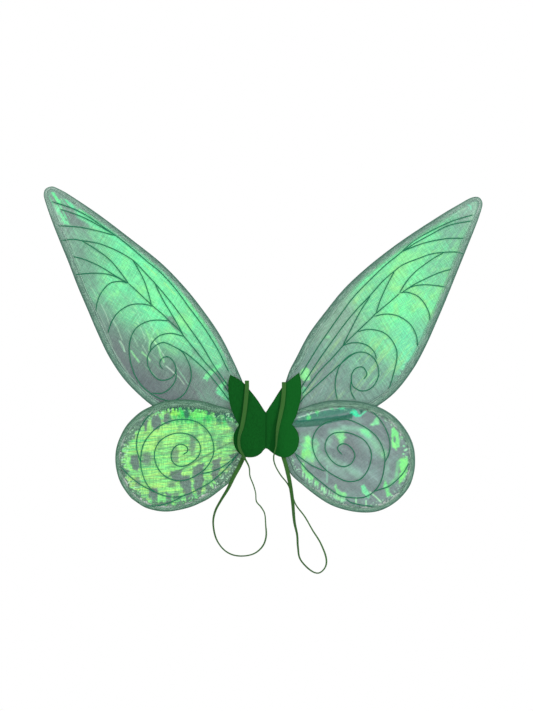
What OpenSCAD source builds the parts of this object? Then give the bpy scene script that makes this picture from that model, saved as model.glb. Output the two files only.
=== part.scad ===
// Fairy wings: four sheer wings on bent wire frames, clamped between the
// felts of a butterfly-shaped back pad, with two elastic shoulder straps.
// Upright as worn: +X to the wearer's right, +Z up, the wearer's back on the
// -Y side. The origin is on the wearer's face of the pad, in its crease.

/* [Pad] */
// Thickness of each felt leaf
felt_t = 2.4; // [1.5:0.1:2.6]
// Width of the crease strip that the two halves fold about
crease_w = 8; // [6:0.5:9]
// Running gap left at every fold and bend line
fold_gap = 0.4; // [0.3:0.05:0.5]

/* [Wings] */
// Diameter of the bent frame wire
wire_d = 2; // [1.6:0.1:2]
// Thickness of one layer of sheer mesh
mesh_t = 0.25; // [0.15:0.05:0.25]
// Thickness of the iridescent film insert
film_t = 0.2; // [0.1:0.05:0.3]
// Width of the folded-in hem
hem_w = 17; // [12:1:18]
// Distance from the edge of a wing to the edge of its film
film_in = 10; // [8:1:14]
// Distance from the edge of a wing to the middle of its wire
wire_in = 2.1; // [2.1:0.1:3]

/* [Straps] */
// Width of the shoulder elastic
strap_w = 8; // [6:1:8]
// Thickness of the shoulder elastic
strap_t = 1.2; // [0.8:0.1:1.2]

/* [Hidden] */

pad_t = 13.8;                 // whole pad, front felt to back felt
lower_y = 5.9;                // middle plane of the lower wings
upper_y = 9.5;                // middle plane of the upper wings
sleeve_f = 1.6;               // middle plane to the front of a sleeve
sleeve_b = 1.35;              // middle plane to the back of a sleeve
root_gap = 0.6;               // half of the gap at a wing's bend line
tail_y = 3.3;                 // middle of a strap's sewn end, behind the front felt
strap_y = -0.8;               // middle of a strap that lies on the front felt
left_upper_x = 50;            // distance of each bend line from the crease
right_upper_x = 46;
left_lower_x = 74;
right_lower_x = 76;

// Outlines, [x, z], from the pad out along the upper edge and back
left_upper_edge = [
    [-44, 94], [-49, 106], [-65, 141], [-89, 187], [-122, 235], [-159, 281],
    [-204, 327], [-263, 374], [-325, 421], [-380, 458], [-403, 471],
    [-417, 476], [-430, 471], [-434, 459], [-430, 442], [-419, 410],
    [-405, 374], [-386, 328], [-368, 281], [-348, 234], [-328, 187],
    [-305, 140], [-273, 94], [-229, 52], [-199, 35], [-165, 25], [-104, 18],
    [-52, 13], [-34, 20], [-29, 42], [-33, 70]
];
right_upper_edge = [
    [38, 94], [46, 117], [58, 140], [83, 187], [117, 233], [156, 280],
    [208, 327], [269, 373], [341, 420], [380, 443], [398, 453], [411, 456],
    [420, 452], [424, 440], [418, 418], [410, 396], [392, 351], [373, 304],
    [354, 257], [334, 210], [313, 163], [287, 116], [249, 69], [199, 34],
    [166, 25], [104, 18], [55, 14], [36, 20], [29, 42], [31, 70]
];
left_lower_edge = [
    [-50, 34], [-70, 42], [-99, 50], [-124, 57], [-149, 60], [-174, 60],
    [-199, 57], [-222, 48], [-246, 35], [-270, 12], [-284, -12], [-292, -35],
    [-294, -58], [-291, -82], [-283, -105], [-267, -129], [-253, -141],
    [-230, -154], [-194, -160], [-153, -153], [-123, -141], [-104, -130],
    [-76, -108], [-59, -94], [-44, -57], [-33, -40], [-27, -12], [-32, 18]
];
right_lower_edge = [
    [50, 35], [70, 43], [92, 51], [117, 57], [142, 59], [167, 58], [191, 55],
    [215, 48], [236, 38], [257, 22], [277, -4], [289, -32], [292, -62],
    [289, -87], [280, -112], [260, -136], [235, -153], [209, -161],
    [179, -161], [149, -155], [123, -145], [98, -129], [73, -109], [48, -86],
    [37, -58], [30, -40], [27, -12], [32, 18]
];
left_upper_tip = [-420, 466];
right_upper_tip = [410, 446];

// Half outlines of the felt pad, [x, z], from the top notch to the bottom one
left_pad = [
    [-4, 40], [-9, 48], [-17, 60], [-24, 69], [-32, 79], [-38, 86], [-44, 93],
    [-56, 101], [-69, 108], [-72, 98], [-73, 88], [-72, 66], [-68, 44],
    [-60, 25], [-52, 10], [-58, 1], [-62, -9], [-63, -19], [-61, -30],
    [-56, -40], [-47, -49], [-35, -53], [-21, -52], [-10, -46], [-4, -39]
];
right_pad = [
    [4, 40], [8, 47], [15, 57], [23, 70], [31, 82], [39, 91], [52, 102],
    [65, 112], [68, 100], [69, 88], [69, 66], [64, 42], [57, 22], [51, 11],
    [59, 2], [64, -9], [65, -21], [62, -34], [55, -45], [46, -51], [38, -53],
    [28, -52], [17, -47], [9, -41], [4, -37]
];
// The outer felt leaf is narrower at the top, to let the upper wings bend
left_back_pad = [
    [-4, 40], [-17, 60], [-32, 79], [-38, 86], [-44, 92], [-47, 92],
    [-47, 30], [-48, 14], [-53, 4], [-56, -8], [-57, -19], [-55, -30],
    [-50, -40], [-43, -47], [-33, -50], [-20, -49], [-10, -44], [-4, -38]
];
right_back_pad = [
    [4, 40], [15, 57], [23, 70], [31, 82], [38, 90], [43, 91], [43, 30],
    [46, 14], [52, 4], [57, -8], [58, -20], [56, -31], [50, -41], [43, -47],
    [36, -50], [27, -49], [17, -45], [9, -40], [4, -36]
];
crease_top = 40;
crease_bottom = -37;

// Strap routes: [x, y, z] and the direction that the elastic's width takes
left_strap_route = [
    [[-36.5, strap_y, 92], [1, 0, 0]], [[-37, -2.3, 76], [1, 0, 0]],
    [[-39, -2.8, 54], [1, 0, 0]], [[-42, -3, 30], [1, 0.2, 0]],
    [[-46.5, -3.4, 6], [1, 0.5, 0]], [[-51.8, -4, -14], [0.8, 1, 0]],
    [[-51, -4.2, -34], [0.8, 1, 0]], [[-41.5, -4.8, -53], [0.5, 1, 0]],
    [[-32.5, -6, -71], [0.26, 1, 0]], [[-30.5, -6.5, -89], [0.2, 1, 0]],
    [[-24, -7, -106], [0.18, 1, 0.05]], [[-19.5, -7, -122], [0.18, 1, 0]],
    [[-18, -7.5, -138], [0.2, 1, 0]], [[-9, -8, -149], [0.18, 1, 0.1]],
    [[-2, -8, -162], [0.2, 1, 0]], [[0, -8, -183], [0.24, 1, 0]],
    [[0.8, -8, -206], [0.36, 1, 0]], [[-6, -8, -225], [0.34, 1, -0.2]],
    [[-22, -8, -239], [0.2, 1, -0.32]], [[-44, -8, -244], [0, 1, -0.38]],
    [[-66, -8, -241], [-0.1, 1, -0.38]], [[-84, -8, -229], [-0.22, 1, -0.3]],
    [[-97, -8, -208], [-0.4, 1, -0.1]], [[-102, -8, -180], [-0.42, 1, 0]],
    [[-98, -7.5, -157], [-0.5, 1, 0.1]], [[-87, -7, -136], [-0.6, 1, 0.2]],
    [[-73, -5, -113], [-1, 0.8, 0]], [[-62, -3, -90], [-1, 0.35, 0]],
    [[-51.5, 0, -71], [-1, 0, 0]], [[-44.5, tail_y, -56], [-1, 0, 0]],
    [[-41.3, tail_y, -49.3], [-1, 0, 0]], [[-38, tail_y, -41], [-1, 0, 0]]
];
right_strap_route = [
    [[35.5, strap_y, 89], [1, 0, 0]], [[35, -2.3, 73], [1, 0, 0]],
    [[33, -2.8, 52], [1, 0.05, 0]], [[28.5, -3.1, 29], [1, 0.3, 0]],
    [[24, -3.8, 8], [1, 0.9, 0]], [[21.5, -4.4, -12], [0.5, 1, 0]],
    [[20, -4.7, -31], [0.3, 1, 0]], [[15.5, -4.9, -52], [0.28, 1, 0]],
    [[18.5, -4.6, -68], [0.22, 1, 0.05]], [[29, -3, -87], [0.18, 1, 0.1]],
    [[43.5, -1.6, -106], [0.18, 1, 0.1]], [[53, -2, -131], [0.2, 1, 0.1]],
    [[60, -3, -147], [0.18, 1, 0.12]], [[76, -4, -168], [0.2, 1, 0.12]],
    [[91, -5, -194], [0.22, 1, 0.12]], [[106, -6, -218], [0.26, 1, 0.14]],
    [[117, -7, -246], [0.36, 1, 0.1]], [[116, -7.5, -265], [0.38, 1, -0.1]],
    [[103, -8, -277], [0.15, 1, -0.38]], [[86, -8.5, -271], [-0.15, 1, -0.4]],
    [[67, -9, -250], [-0.3, 1, -0.25]], [[62.5, -9, -226], [-0.42, 1, -0.1]],
    [[61, -9, -203], [-0.5, 1, 0]], [[55.5, -9, -176], [-0.75, 1, 0]],
    [[52, -9, -136], [-1, 0.8, 0]], [[47, -7, -102], [-1, 0.5, 0]],
    [[40.5, -2, -73], [-1, 0, 0]], [[35.5, tail_y, -56], [-1, 0, 0]],
    [[33.4, tail_y, -49.3], [-1, 0, 0]], [[31, tail_y, -41], [-1, 0, 0]]
];

felt_col = [0.08, 0.36, 0.12];
foam_col = [0.75, 0.78, 0.72];
mesh_col = [0.42, 0.56, 0.5, 0.5];
hem_col = [0.32, 0.48, 0.42];
film_col = [0.5, 0.95, 0.6, 0.6];
wire_col = [0.25, 0.4, 0.33];
elastic_col = [0.3, 0.5, 0.2];
thread_col = [0.12, 0.4, 0.15];

// A smooth closed curve through hand-set points
function cr(a, b, c, d, t) =
    0.5 * (2 * b + (c - a) * t + (2 * a - 5 * b + 4 * c - d) * t * t
    + (3 * b - a - 3 * c + d) * t * t * t);
function closed_curve(p, n) =
    let (m = len(p))
    [for (i = [0 : m - 1]) for (k = [0 : n - 1])
        cr(p[(i + m - 1) % m], p[i], p[(i + 1) % m], p[(i + 2) % m], k / n)];
// A smooth open curve through points that each hold a place and a direction
function open_curve(p, n) =
    let (m = len(p))
    concat(
        [for (i = [0 : m - 2]) for (k = [0 : n - 1])
            [for (j = [0 : 1])
                cr(p[max(i - 1, 0)][j], p[i][j], p[i + 1][j],
                   p[min(i + 2, m - 1)][j], k / n)]],
        [p[m - 1]]
    );
function unit(v) = v / norm(v);
function twice_area(p) =
    let (m = len(p))
    [for (i = [0 : m - 1]) p[i][0] * p[(i + 1) % m][1] - p[(i + 1) % m][0] * p[i][1]]
    * [for (i = p) 1];
// How deep a border is at a point: thinner at a sharp tip and inside the pad
function depth(p, d, tip, bend_x) =
    d * (abs(p[0]) < bend_x - 2 ? 0.2 : 1)
    * (is_undef(tip) ? 1 : min(1, 0.35 + norm(p - tip) / 130));
function inward(p, d, tip = undef, bend_x = 0) =
    let (m = len(p), s = twice_area(p) > 0 ? 1 : -1)
    [for (i = [0 : m - 1])
        let (t = unit(p[(i + 1) % m] - p[(i + m - 1) % m]))
        p[i] + depth(p[i], d, tip, bend_x) * s * [-t[1], t[0]]];
// The stretch of a closed outline that lies outside a bend line
function beyond(p, x) =
    let (m = len(p))
    [for (i = [0 : m - 1])
        let (a = p[i], b = p[(i + 1) % m],
             out = abs(a[0]) > x, cut = out != (abs(b[0]) > x))
        each concat(out ? [a] : [],
            cut ? [a + (b - a) * (x - abs(a[0])) / (abs(b[0]) - abs(a[0]))] : [])];

module plate(p, y0, y1) {
    translate([0, y1, 0]) rotate([90, 0, 0]) linear_extrude(y1 - y0) polygon(p);
}

module band(outer, inner, y0, y1) {
    difference() {
        plate(outer, y0, y1);
        plate(inner, y0 - 1, y1 + 1);
    }
}

// Keeps what lies outside a bend line, or inside it
module outside_of(x, side) {
    intersection() {
        children();
        translate([side > 0 ? x + root_gap : -600 - x - root_gap, -50, -300])
            cube([600, 100, 900]);
    }
}
module inside_of(x) {
    intersection() {
        children();
        translate([-x + root_gap, -50, -300]) cube([2 * x - 2 * root_gap, 100, 900]);
    }
}

// A closed tube along a path in the plane y = y0
module bent_wire(path, r, y0, sides = 8) {
    m = len(path);
    rings = [for (i = [0 : m - 1])
        let (t = unit(path[min(i + 1, m - 1)] - path[max(i - 1, 0)]))
        for (k = [0 : sides - 1])
            let (a = 360 * (k + 0.5) / sides)
            [path[i][0] - t[1] * r * cos(a), y0 + r * sin(a), path[i][1] + t[0] * r * cos(a)]];
    tube(rings, m, sides);
}

// A closed skin over equal rings of points
module tube(rings, m, sides) {
    polyhedron(rings, concat(
        [[for (k = [0 : sides - 1]) k]],
        [for (i = [0 : m - 2]) for (k = [0 : sides - 1])
            let (a = i * sides + k, b = i * sides + (k + 1) % sides)
            each [[a, a + sides, b + sides], [a, b + sides, b]]],
        [[for (k = [sides - 1 : -1 : 0]) (m - 1) * sides + k]]
    ));
}

// A flat band of elastic along a route, turned as the route says
module elastic(route) {
    line = open_curve(route, 2);
    m = len(line);
    h = strap_t / 2;
    w = strap_w / 2;
    section = [[w, h * 0.5], [w * 0.85, h], [-w * 0.85, h], [-w, h * 0.5],
               [-w, -h * 0.5], [-w * 0.85, -h], [w * 0.85, -h], [w, -h * 0.5]];
    rings = [for (i = [0 : m - 1])
        let (t = unit(line[min(i + 1, m - 1)][0] - line[max(i - 1, 0)][0]),
             u = unit(line[i][1] - (line[i][1] * t) * t),
             v = cross(t, u))
        for (s = section) line[i][0] + u * s[0] + v * s[1]];
    tube(rings, m, 8);
}

// The end of a wing wire: a leg in, a bend, and a leg back out
module wire_legs(points, y0) {
    m = len(points);
    line = concat(
        [for (i = [0 : m - 2]) for (k = [0 : 2])
            cr(points[max(i - 1, 0)], points[i], points[i + 1],
               points[min(i + 2, m - 1)], k / 3)],
        [points[m - 1]]
    );
    color(wire_col) bent_wire(line, wire_d / 2, y0);
}

module wing_wire(edge, y0, x, side) {
    outline = closed_curve(edge, 3);
    color(wire_col)
        bent_wire(beyond(inward(outline, wire_in), x + root_gap + 0.8), wire_d / 2, y0);
}
module wing_mesh(edge, y0, y1, x, side) {
    color(mesh_col) outside_of(x, side) plate(closed_curve(edge, 3), y0, y1);
}
// The fold of the mesh round the edge, with its turned-in allowance
module wing_hem(edge, yc, x, side, tip) {
    outline = closed_curve(edge, 3);
    color(hem_col) outside_of(x, side) union() {
        band(outline, inward(outline, hem_w, tip, x),
             yc - sleeve_f + mesh_t, yc - wire_d / 2 - 0.1);
        band(outline, inward(outline, 0.8),
             yc - wire_d / 2 - 0.2, yc + sleeve_b - mesh_t);
    }
}
module wing_film(edge, yc, x, side, tip) {
    color(film_col) outside_of(x, side)
        plate(inward(closed_curve(edge, 3), film_in, tip, x), yc - film_t / 2, yc + film_t / 2);
}
// The gathered end of a sleeve: a pocket that the wire legs end in
module wing_root(edge, yc, x) {
    outline = closed_curve(edge, 3);
    color(hem_col) inside_of(x) difference() {
        plate(outline, yc - sleeve_f, yc + sleeve_b);
        plate(inward(outline, 3), yc - wire_d / 2 - 0.1, yc + wire_d / 2 + 0.1);
        translate([edge[3][0] > 0 ? x - 1 : -x - 9, yc - wire_d / 2 - 0.1, -200])
            cube([10, wire_d + 0.2, 400]);
    }
}

module front_felt_left() {
    color(felt_col) intersection() {
        plate(left_pad, 0, felt_t);
        translate([-200 - crease_w / 2 - fold_gap, -1, -200]) cube([200, 30, 400]);
    }
}
module front_felt_right() {
    color(felt_col) intersection() {
        plate(right_pad, 0, felt_t);
        translate([crease_w / 2 + fold_gap, -1, -200]) cube([200, 30, 400]);
    }
}
module back_felt_left() {
    color(felt_col) intersection() {
        plate(left_back_pad, pad_t - felt_t, pad_t);
        translate([-200 - crease_w / 2 - fold_gap, -1, -200]) cube([200, 30, 400]);
    }
}
module back_felt_right() {
    color(felt_col) intersection() {
        plate(right_back_pad, pad_t - felt_t, pad_t);
        translate([crease_w / 2 + fold_gap, -1, -200]) cube([200, 30, 400]);
    }
}
// The strip between the halves runs into the notch at the top and bottom
module crease_strip(y0, y1) {
    w = crease_w / 2;
    plate([[-w, crease_top], [0, crease_top - 5], [w, crease_top],
           [w, crease_bottom], [0, crease_bottom + 2], [-w, crease_bottom]], y0, y1);
}
module front_felt_crease() { color(felt_col) crease_strip(0, felt_t); }
module back_felt_crease() { color(felt_col) crease_strip(pad_t - felt_t, pad_t); }
module core_crease() { color(foam_col) crease_strip(felt_t, pad_t - felt_t); }
module core_half(side) {
    c = crease_w / 2 + fold_gap;
    color(foam_col)
        plate([for (p = [[c, 34], [10, 42], [20, 52], [24, 52], [24, -44], [14, -40], [c, -33]])
                   [side * p[0], p[1]]],
              felt_t, pad_t - felt_t);
}
module core_left() { core_half(-1); }
module core_right() { core_half(1); }

module left_upper_wire() { wing_wire(left_upper_edge, upper_y, left_upper_x, -1); }
module left_upper_front_mesh() {
    wing_mesh(left_upper_edge, upper_y - sleeve_f, upper_y - sleeve_f + mesh_t, left_upper_x, -1);
}
module left_upper_back_mesh() {
    wing_mesh(left_upper_edge, upper_y + sleeve_b - mesh_t, upper_y + sleeve_b, left_upper_x, -1);
}
module left_upper_hem() { wing_hem(left_upper_edge, upper_y, left_upper_x, -1, left_upper_tip); }
module left_upper_film() { wing_film(left_upper_edge, upper_y, left_upper_x, -1, left_upper_tip); }
module left_upper_root() { wing_root(left_upper_edge, upper_y, left_upper_x); }
module left_upper_legs() {
    wire_legs([[-48.4, 93], [-36.4, 62], [-36.4, 34], [-48.4, 19.2]], upper_y);
}

module right_upper_wire() { wing_wire(right_upper_edge, upper_y, right_upper_x, 1); }
module right_upper_front_mesh() {
    wing_mesh(right_upper_edge, upper_y - sleeve_f, upper_y - sleeve_f + mesh_t, right_upper_x, 1);
}
module right_upper_back_mesh() {
    wing_mesh(right_upper_edge, upper_y + sleeve_b - mesh_t, upper_y + sleeve_b, right_upper_x, 1);
}
module right_upper_hem() { wing_hem(right_upper_edge, upper_y, right_upper_x, 1, right_upper_tip); }
module right_upper_film() { wing_film(right_upper_edge, upper_y, right_upper_x, 1, right_upper_tip); }
module right_upper_root() { wing_root(right_upper_edge, upper_y, right_upper_x); }
module right_upper_legs() {
    wire_legs([[44.4, 99.6], [36.4, 62], [36.4, 34], [44.4, 22.5]], upper_y);
}

module left_lower_wire() { wing_wire(left_lower_edge, lower_y, left_lower_x, -1); }
module left_lower_front_mesh() {
    wing_mesh(left_lower_edge, lower_y - sleeve_f, lower_y - sleeve_f + mesh_t, left_lower_x, -1);
}
module left_lower_back_mesh() {
    wing_mesh(left_lower_edge, lower_y + sleeve_b - mesh_t, lower_y + sleeve_b, left_lower_x, -1);
}
module left_lower_hem() { wing_hem(left_lower_edge, lower_y, left_lower_x, -1, undef); }
module left_lower_film() { wing_film(left_lower_edge, lower_y, left_lower_x, -1, undef); }
module left_lower_root() { wing_root(left_lower_edge, lower_y, left_lower_x); }
module left_lower_legs() {
    wire_legs([[-72.4, 38], [-36, 12], [-36, -30], [-50, -60], [-63, -88], [-72.4, -97]], lower_y);
}

module right_lower_wire() { wing_wire(right_lower_edge, lower_y, right_lower_x, 1); }
module right_lower_front_mesh() {
    wing_mesh(right_lower_edge, lower_y - sleeve_f, lower_y - sleeve_f + mesh_t, right_lower_x, 1);
}
module right_lower_back_mesh() {
    wing_mesh(right_lower_edge, lower_y + sleeve_b - mesh_t, lower_y + sleeve_b, right_lower_x, 1);
}
module right_lower_hem() { wing_hem(right_lower_edge, lower_y, right_lower_x, 1, undef); }
module right_lower_film() { wing_film(right_lower_edge, lower_y, right_lower_x, 1, undef); }
module right_lower_root() { wing_root(right_lower_edge, lower_y, right_lower_x); }
module right_lower_legs() {
    wire_legs([[74.4, 38], [36, 12], [36, -30], [48, -60], [57, -82], [74.4, -99]], lower_y);
}

module left_strap() { color(elastic_col) elastic(left_strap_route); }
module right_strap() { color(elastic_col) elastic(right_strap_route); }
// The upper end of a strap, folded over the pad's top edge and sewn behind it
module strap_fold(x, top) {
    r = (tail_y - strap_y) / 2;
    color(elastic_col) union() {
        translate([x, (tail_y + strap_y) / 2, top]) rotate([0, 90, 0])
            linear_extrude(strap_w + 1, center = true)
                difference() {
                    circle(r + strap_t / 2, $fn = 48);
                    circle(r - strap_t / 2, $fn = 48);
                    translate([0, -10]) square([20, 20]);
                }
        translate([x - (strap_w + 1) / 2, strap_y - strap_t / 2, top - 1.8])
            cube([strap_w + 1, strap_t, 1.8]);
        translate([x - (strap_w + 1) / 2, tail_y - strap_t / 2, 70])
            cube([strap_w + 1, strap_t, top - 70]);
    }
}
module left_strap_fold() { strap_fold(-36.5, 94); }
module right_strap_fold() { strap_fold(35.5, 91); }
// Bar tacks behind the two sewn ends of a strap
module tack(x, z, turn) {
    translate([x, tail_y + strap_t / 2 + 0.1, z]) rotate([0, turn, 0])
        translate([-3, 0, -1]) cube([6, 0.3, 2]);
}
module left_strap_tacks() {
    color(thread_col) {
        tack(-36.5, 76, 0);
        tack(-36.5, 81, 0);
        tack(-40, -46, 23);
    }
}
module right_strap_tacks() {
    color(thread_col) {
        tack(35.5, 76, 0);
        tack(35.5, 81, 0);
        tack(33, -46, 18);
    }
}

front_felt_left();
front_felt_crease();
front_felt_right();
back_felt_left();
back_felt_crease();
back_felt_right();
core_left();
core_crease();
core_right();
left_upper_wire();
left_upper_front_mesh();
left_upper_back_mesh();
left_upper_hem();
left_upper_film();
left_upper_root();
left_upper_legs();
right_upper_wire();
right_upper_front_mesh();
right_upper_back_mesh();
right_upper_hem();
right_upper_film();
right_upper_root();
right_upper_legs();
left_lower_wire();
left_lower_front_mesh();
left_lower_back_mesh();
left_lower_hem();
left_lower_film();
left_lower_root();
left_lower_legs();
right_lower_wire();
right_lower_front_mesh();
right_lower_back_mesh();
right_lower_hem();
right_lower_film();
right_lower_root();
right_lower_legs();
left_strap();
right_strap();
left_strap_fold();
right_strap_fold();
left_strap_tacks();
right_strap_tacks();
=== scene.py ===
import math

import bpy
import numpy as np
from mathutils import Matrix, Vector
from mathutils.geometry import delaunay_2d_cdt


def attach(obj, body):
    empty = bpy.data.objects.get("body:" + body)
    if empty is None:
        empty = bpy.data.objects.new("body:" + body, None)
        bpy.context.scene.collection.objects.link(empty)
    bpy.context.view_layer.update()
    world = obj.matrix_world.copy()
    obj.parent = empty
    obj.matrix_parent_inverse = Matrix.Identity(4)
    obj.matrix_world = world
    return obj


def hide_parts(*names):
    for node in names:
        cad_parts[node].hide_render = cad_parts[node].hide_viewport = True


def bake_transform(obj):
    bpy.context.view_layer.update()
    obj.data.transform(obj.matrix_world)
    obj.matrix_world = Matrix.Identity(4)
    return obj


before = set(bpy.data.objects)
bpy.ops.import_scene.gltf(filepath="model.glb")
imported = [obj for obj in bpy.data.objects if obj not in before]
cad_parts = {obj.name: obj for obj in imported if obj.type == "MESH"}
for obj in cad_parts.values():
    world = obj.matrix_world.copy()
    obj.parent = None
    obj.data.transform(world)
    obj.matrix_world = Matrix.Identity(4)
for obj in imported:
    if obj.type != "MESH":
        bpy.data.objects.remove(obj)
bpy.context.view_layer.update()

scene = bpy.context.scene

# ---------------------------------------------------------------- camera, light, floor
cam_data = bpy.data.cameras.new("camera")
cam_data.sensor_width = 36
cam_data.sensor_fit = "AUTO"
cam_data.lens = 91.07
cam_data.clip_start, cam_data.clip_end = 0.05, 50
cam = bpy.data.objects.new("camera", cam_data)
cam.location = (0.00156, -3.5, 0.1453)
cam.rotation_euler = (math.radians(90), 0, 0)
scene.collection.objects.link(cam)
scene.camera = cam

scene.view_settings.view_transform = "Standard"
scene.view_settings.look = "None"
scene.view_settings.exposure = 0
scene.view_settings.gamma = 1

world = bpy.data.worlds.new("studio")
scene.world = world
world.use_nodes = True
world.node_tree.nodes["Background"].inputs["Color"].default_value = (1, 1, 1, 1)
world.node_tree.nodes["Background"].inputs["Strength"].default_value = 1.0


def area_light(name, place, aim, size, power):
    data = bpy.data.lights.new(name, "AREA")
    data.shape = "DISK"
    data.size = size
    data.energy = power
    ob = bpy.data.objects.new(name, data)
    ob.location = place
    ob.rotation_euler = (Vector(aim) - Vector(place)).to_track_quat("-Z", "Y").to_euler()
    scene.collection.objects.link(ob)
    return ob


area_light("key", (2.9, -2.2, 1.9), (0, 0, 0.1), 0.5, 78)
area_light("fill", (-2.4, -2.6, 1.2), (0, 0, 0.1), 1.4, 16)


# ---------------------------------------------------------------- small tools
def at(u, v):
    """A point of the pattern sheet (1.95 mm squares, crease at 265.7, zero height at 430), in metres."""
    return (u - 265.7) * 0.00195, (430 - v) * 0.00195


def lin(r, g, b):
    return [((c / 255 + 0.055) / 1.055) ** 2.4 if c > 10.3 else c / 255 / 12.92 for c in (r, g, b)]


def lin_array(rgb):
    c = np.clip(rgb, 0, 255) / 255
    return np.where(c > 0.04045, ((c + 0.055) / 1.055) ** 2.4, c / 12.92)


def catmull(a, b, c, d, t):
    return 0.5 * (2 * b + (c - a) * t + (2 * a - 5 * b + 4 * c - d) * t * t
                  + (3 * b - a - 3 * c + d) * t ** 3)


def closed_curve(p, n):
    p = np.array(p, float)
    m = len(p)
    return np.array([catmull(p[i - 1], p[i], p[(i + 1) % m], p[(i + 2) % m], k / n)
                     for i in range(m) for k in range(n)])


def open_curve(p, n):
    p = np.array(p, float)
    m = len(p)
    out = [catmull(p[max(i - 1, 0)], p[i], p[i + 1], p[min(i + 2, m - 1)], k / n)
           for i in range(m - 1) for k in range(n)]
    return np.array(out + [p[-1]])


def resample(p, step, closed=False):
    p = np.array(p, float)
    if closed:
        p = np.vstack([p, p[:1]])
    d = np.concatenate([[0], np.cumsum(np.linalg.norm(np.diff(p, axis=0), axis=1))])
    n = max(2, int(round(d[-1] / step)))
    s = np.linspace(0, d[-1], n + 1)
    q = np.column_stack([np.interp(s, d, p[:, k]) for k in range(p.shape[1])])
    return q[:-1] if closed else q


def hash2(i, j, seed):
    i, j = np.asarray(i).astype(np.int64), np.asarray(j).astype(np.int64)
    h = (i * 374761393 + j * 668265263 + seed * 2147483647) & 0xFFFFFFFF
    h = ((h ^ (h >> 13)) * 1274126177) & 0xFFFFFFFF
    h = h ^ (h >> 16)
    return (h & 0xFFFFFF) / float(0xFFFFFF)


def noise(x, y, seed=0):
    """Smooth value noise from -1 to 1."""
    x, y = np.asarray(x, float), np.asarray(y, float)
    i, j = np.floor(x), np.floor(y)
    fx, fy = x - i, y - j
    fx, fy = fx * fx * (3 - 2 * fx), fy * fy * (3 - 2 * fy)
    a, b = hash2(i, j, seed), hash2(i + 1, j, seed)
    c, d = hash2(i, j + 1, seed), hash2(i + 1, j + 1, seed)
    return ((a + (b - a) * fx) * (1 - fy) + (c + (d - c) * fx) * fy) * 2 - 1


def fbm(x, y, seed=0, octaves=3):
    total, amp = 0, 1
    for k in range(octaves):
        total = total + amp * noise(x * 2 ** k, y * 2 ** k, seed + 17 * k)
        amp *= 0.5
    return total / (2 - 0.5 ** (octaves - 1))


def smooth(a, b, x):
    t = np.clip((np.asarray(x, float) - a) / (b - a), 0, 1)
    return t * t * (3 - 2 * t)


def to_line(x, y, line, closed=False):
    """Distance of each point to a broken line."""
    line = np.array(line, float)
    a, b = (line, np.roll(line, -1, axis=0)) if closed else (line[:-1], line[1:])
    x, y = np.asarray(x, float), np.asarray(y, float)
    best = np.full(x.shape, 1e9)
    for (ax, ay), (bx, by) in zip(a, b):
        dx, dy = bx - ax, by - ay
        q = dx * dx + dy * dy + 1e-18
        t = np.clip(((x - ax) * dx + (y - ay) * dy) / q, 0, 1)
        best = np.minimum(best, (x - ax - t * dx) ** 2 + (y - ay - t * dy) ** 2)
    return np.sqrt(best)


def along_line(x, y, line):
    """Distance of each point to a closed line, and how far along the line it is, both in pattern squares."""
    best, where, s = np.full(x.shape, 1e9), np.zeros(x.shape), 0.0
    for (ax, ay), (bx, by) in zip(line, np.roll(line, -1, axis=0)):
        dx, dy = bx - ax, by - ay
        q = math.hypot(dx, dy)
        t = np.clip(((x - ax) * dx + (y - ay) * dy) / (q * q + 1e-18), 0, 1)
        d = (x - ax - t * dx) ** 2 + (y - ay - t * dy) ** 2
        hit = d < best
        best = np.where(hit, d, best)
        where = np.where(hit, s + t * q, where)
        s += q
    return np.sqrt(best) / 0.00195, where / 0.00195


def inside(x, y, poly):
    poly = np.array(poly, float)
    x, y = np.asarray(x, float), np.asarray(y, float)
    hit = np.zeros(x.shape, bool)
    for (ax, ay), (bx, by) in zip(poly, np.roll(poly, -1, axis=0)):
        if ay != by:
            hit ^= ((ay > y) != (by > y)) & (x < (bx - ax) * (y - ay) / (by - ay) + ax)
    return hit


def sway(x, z):
    """The slight standing wave of the wings, front to back, the same for all layers."""
    far = smooth(0.085, 0.26, np.abs(x))
    return far * (0.0016 * np.sin(x * 13 + z * 7 + 0.6) + 0.0010 * np.sin(x * -9 + z * 19 + 2.0)
                  + 0.0004 * np.sin(x * 37 + z * 23))


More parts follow.
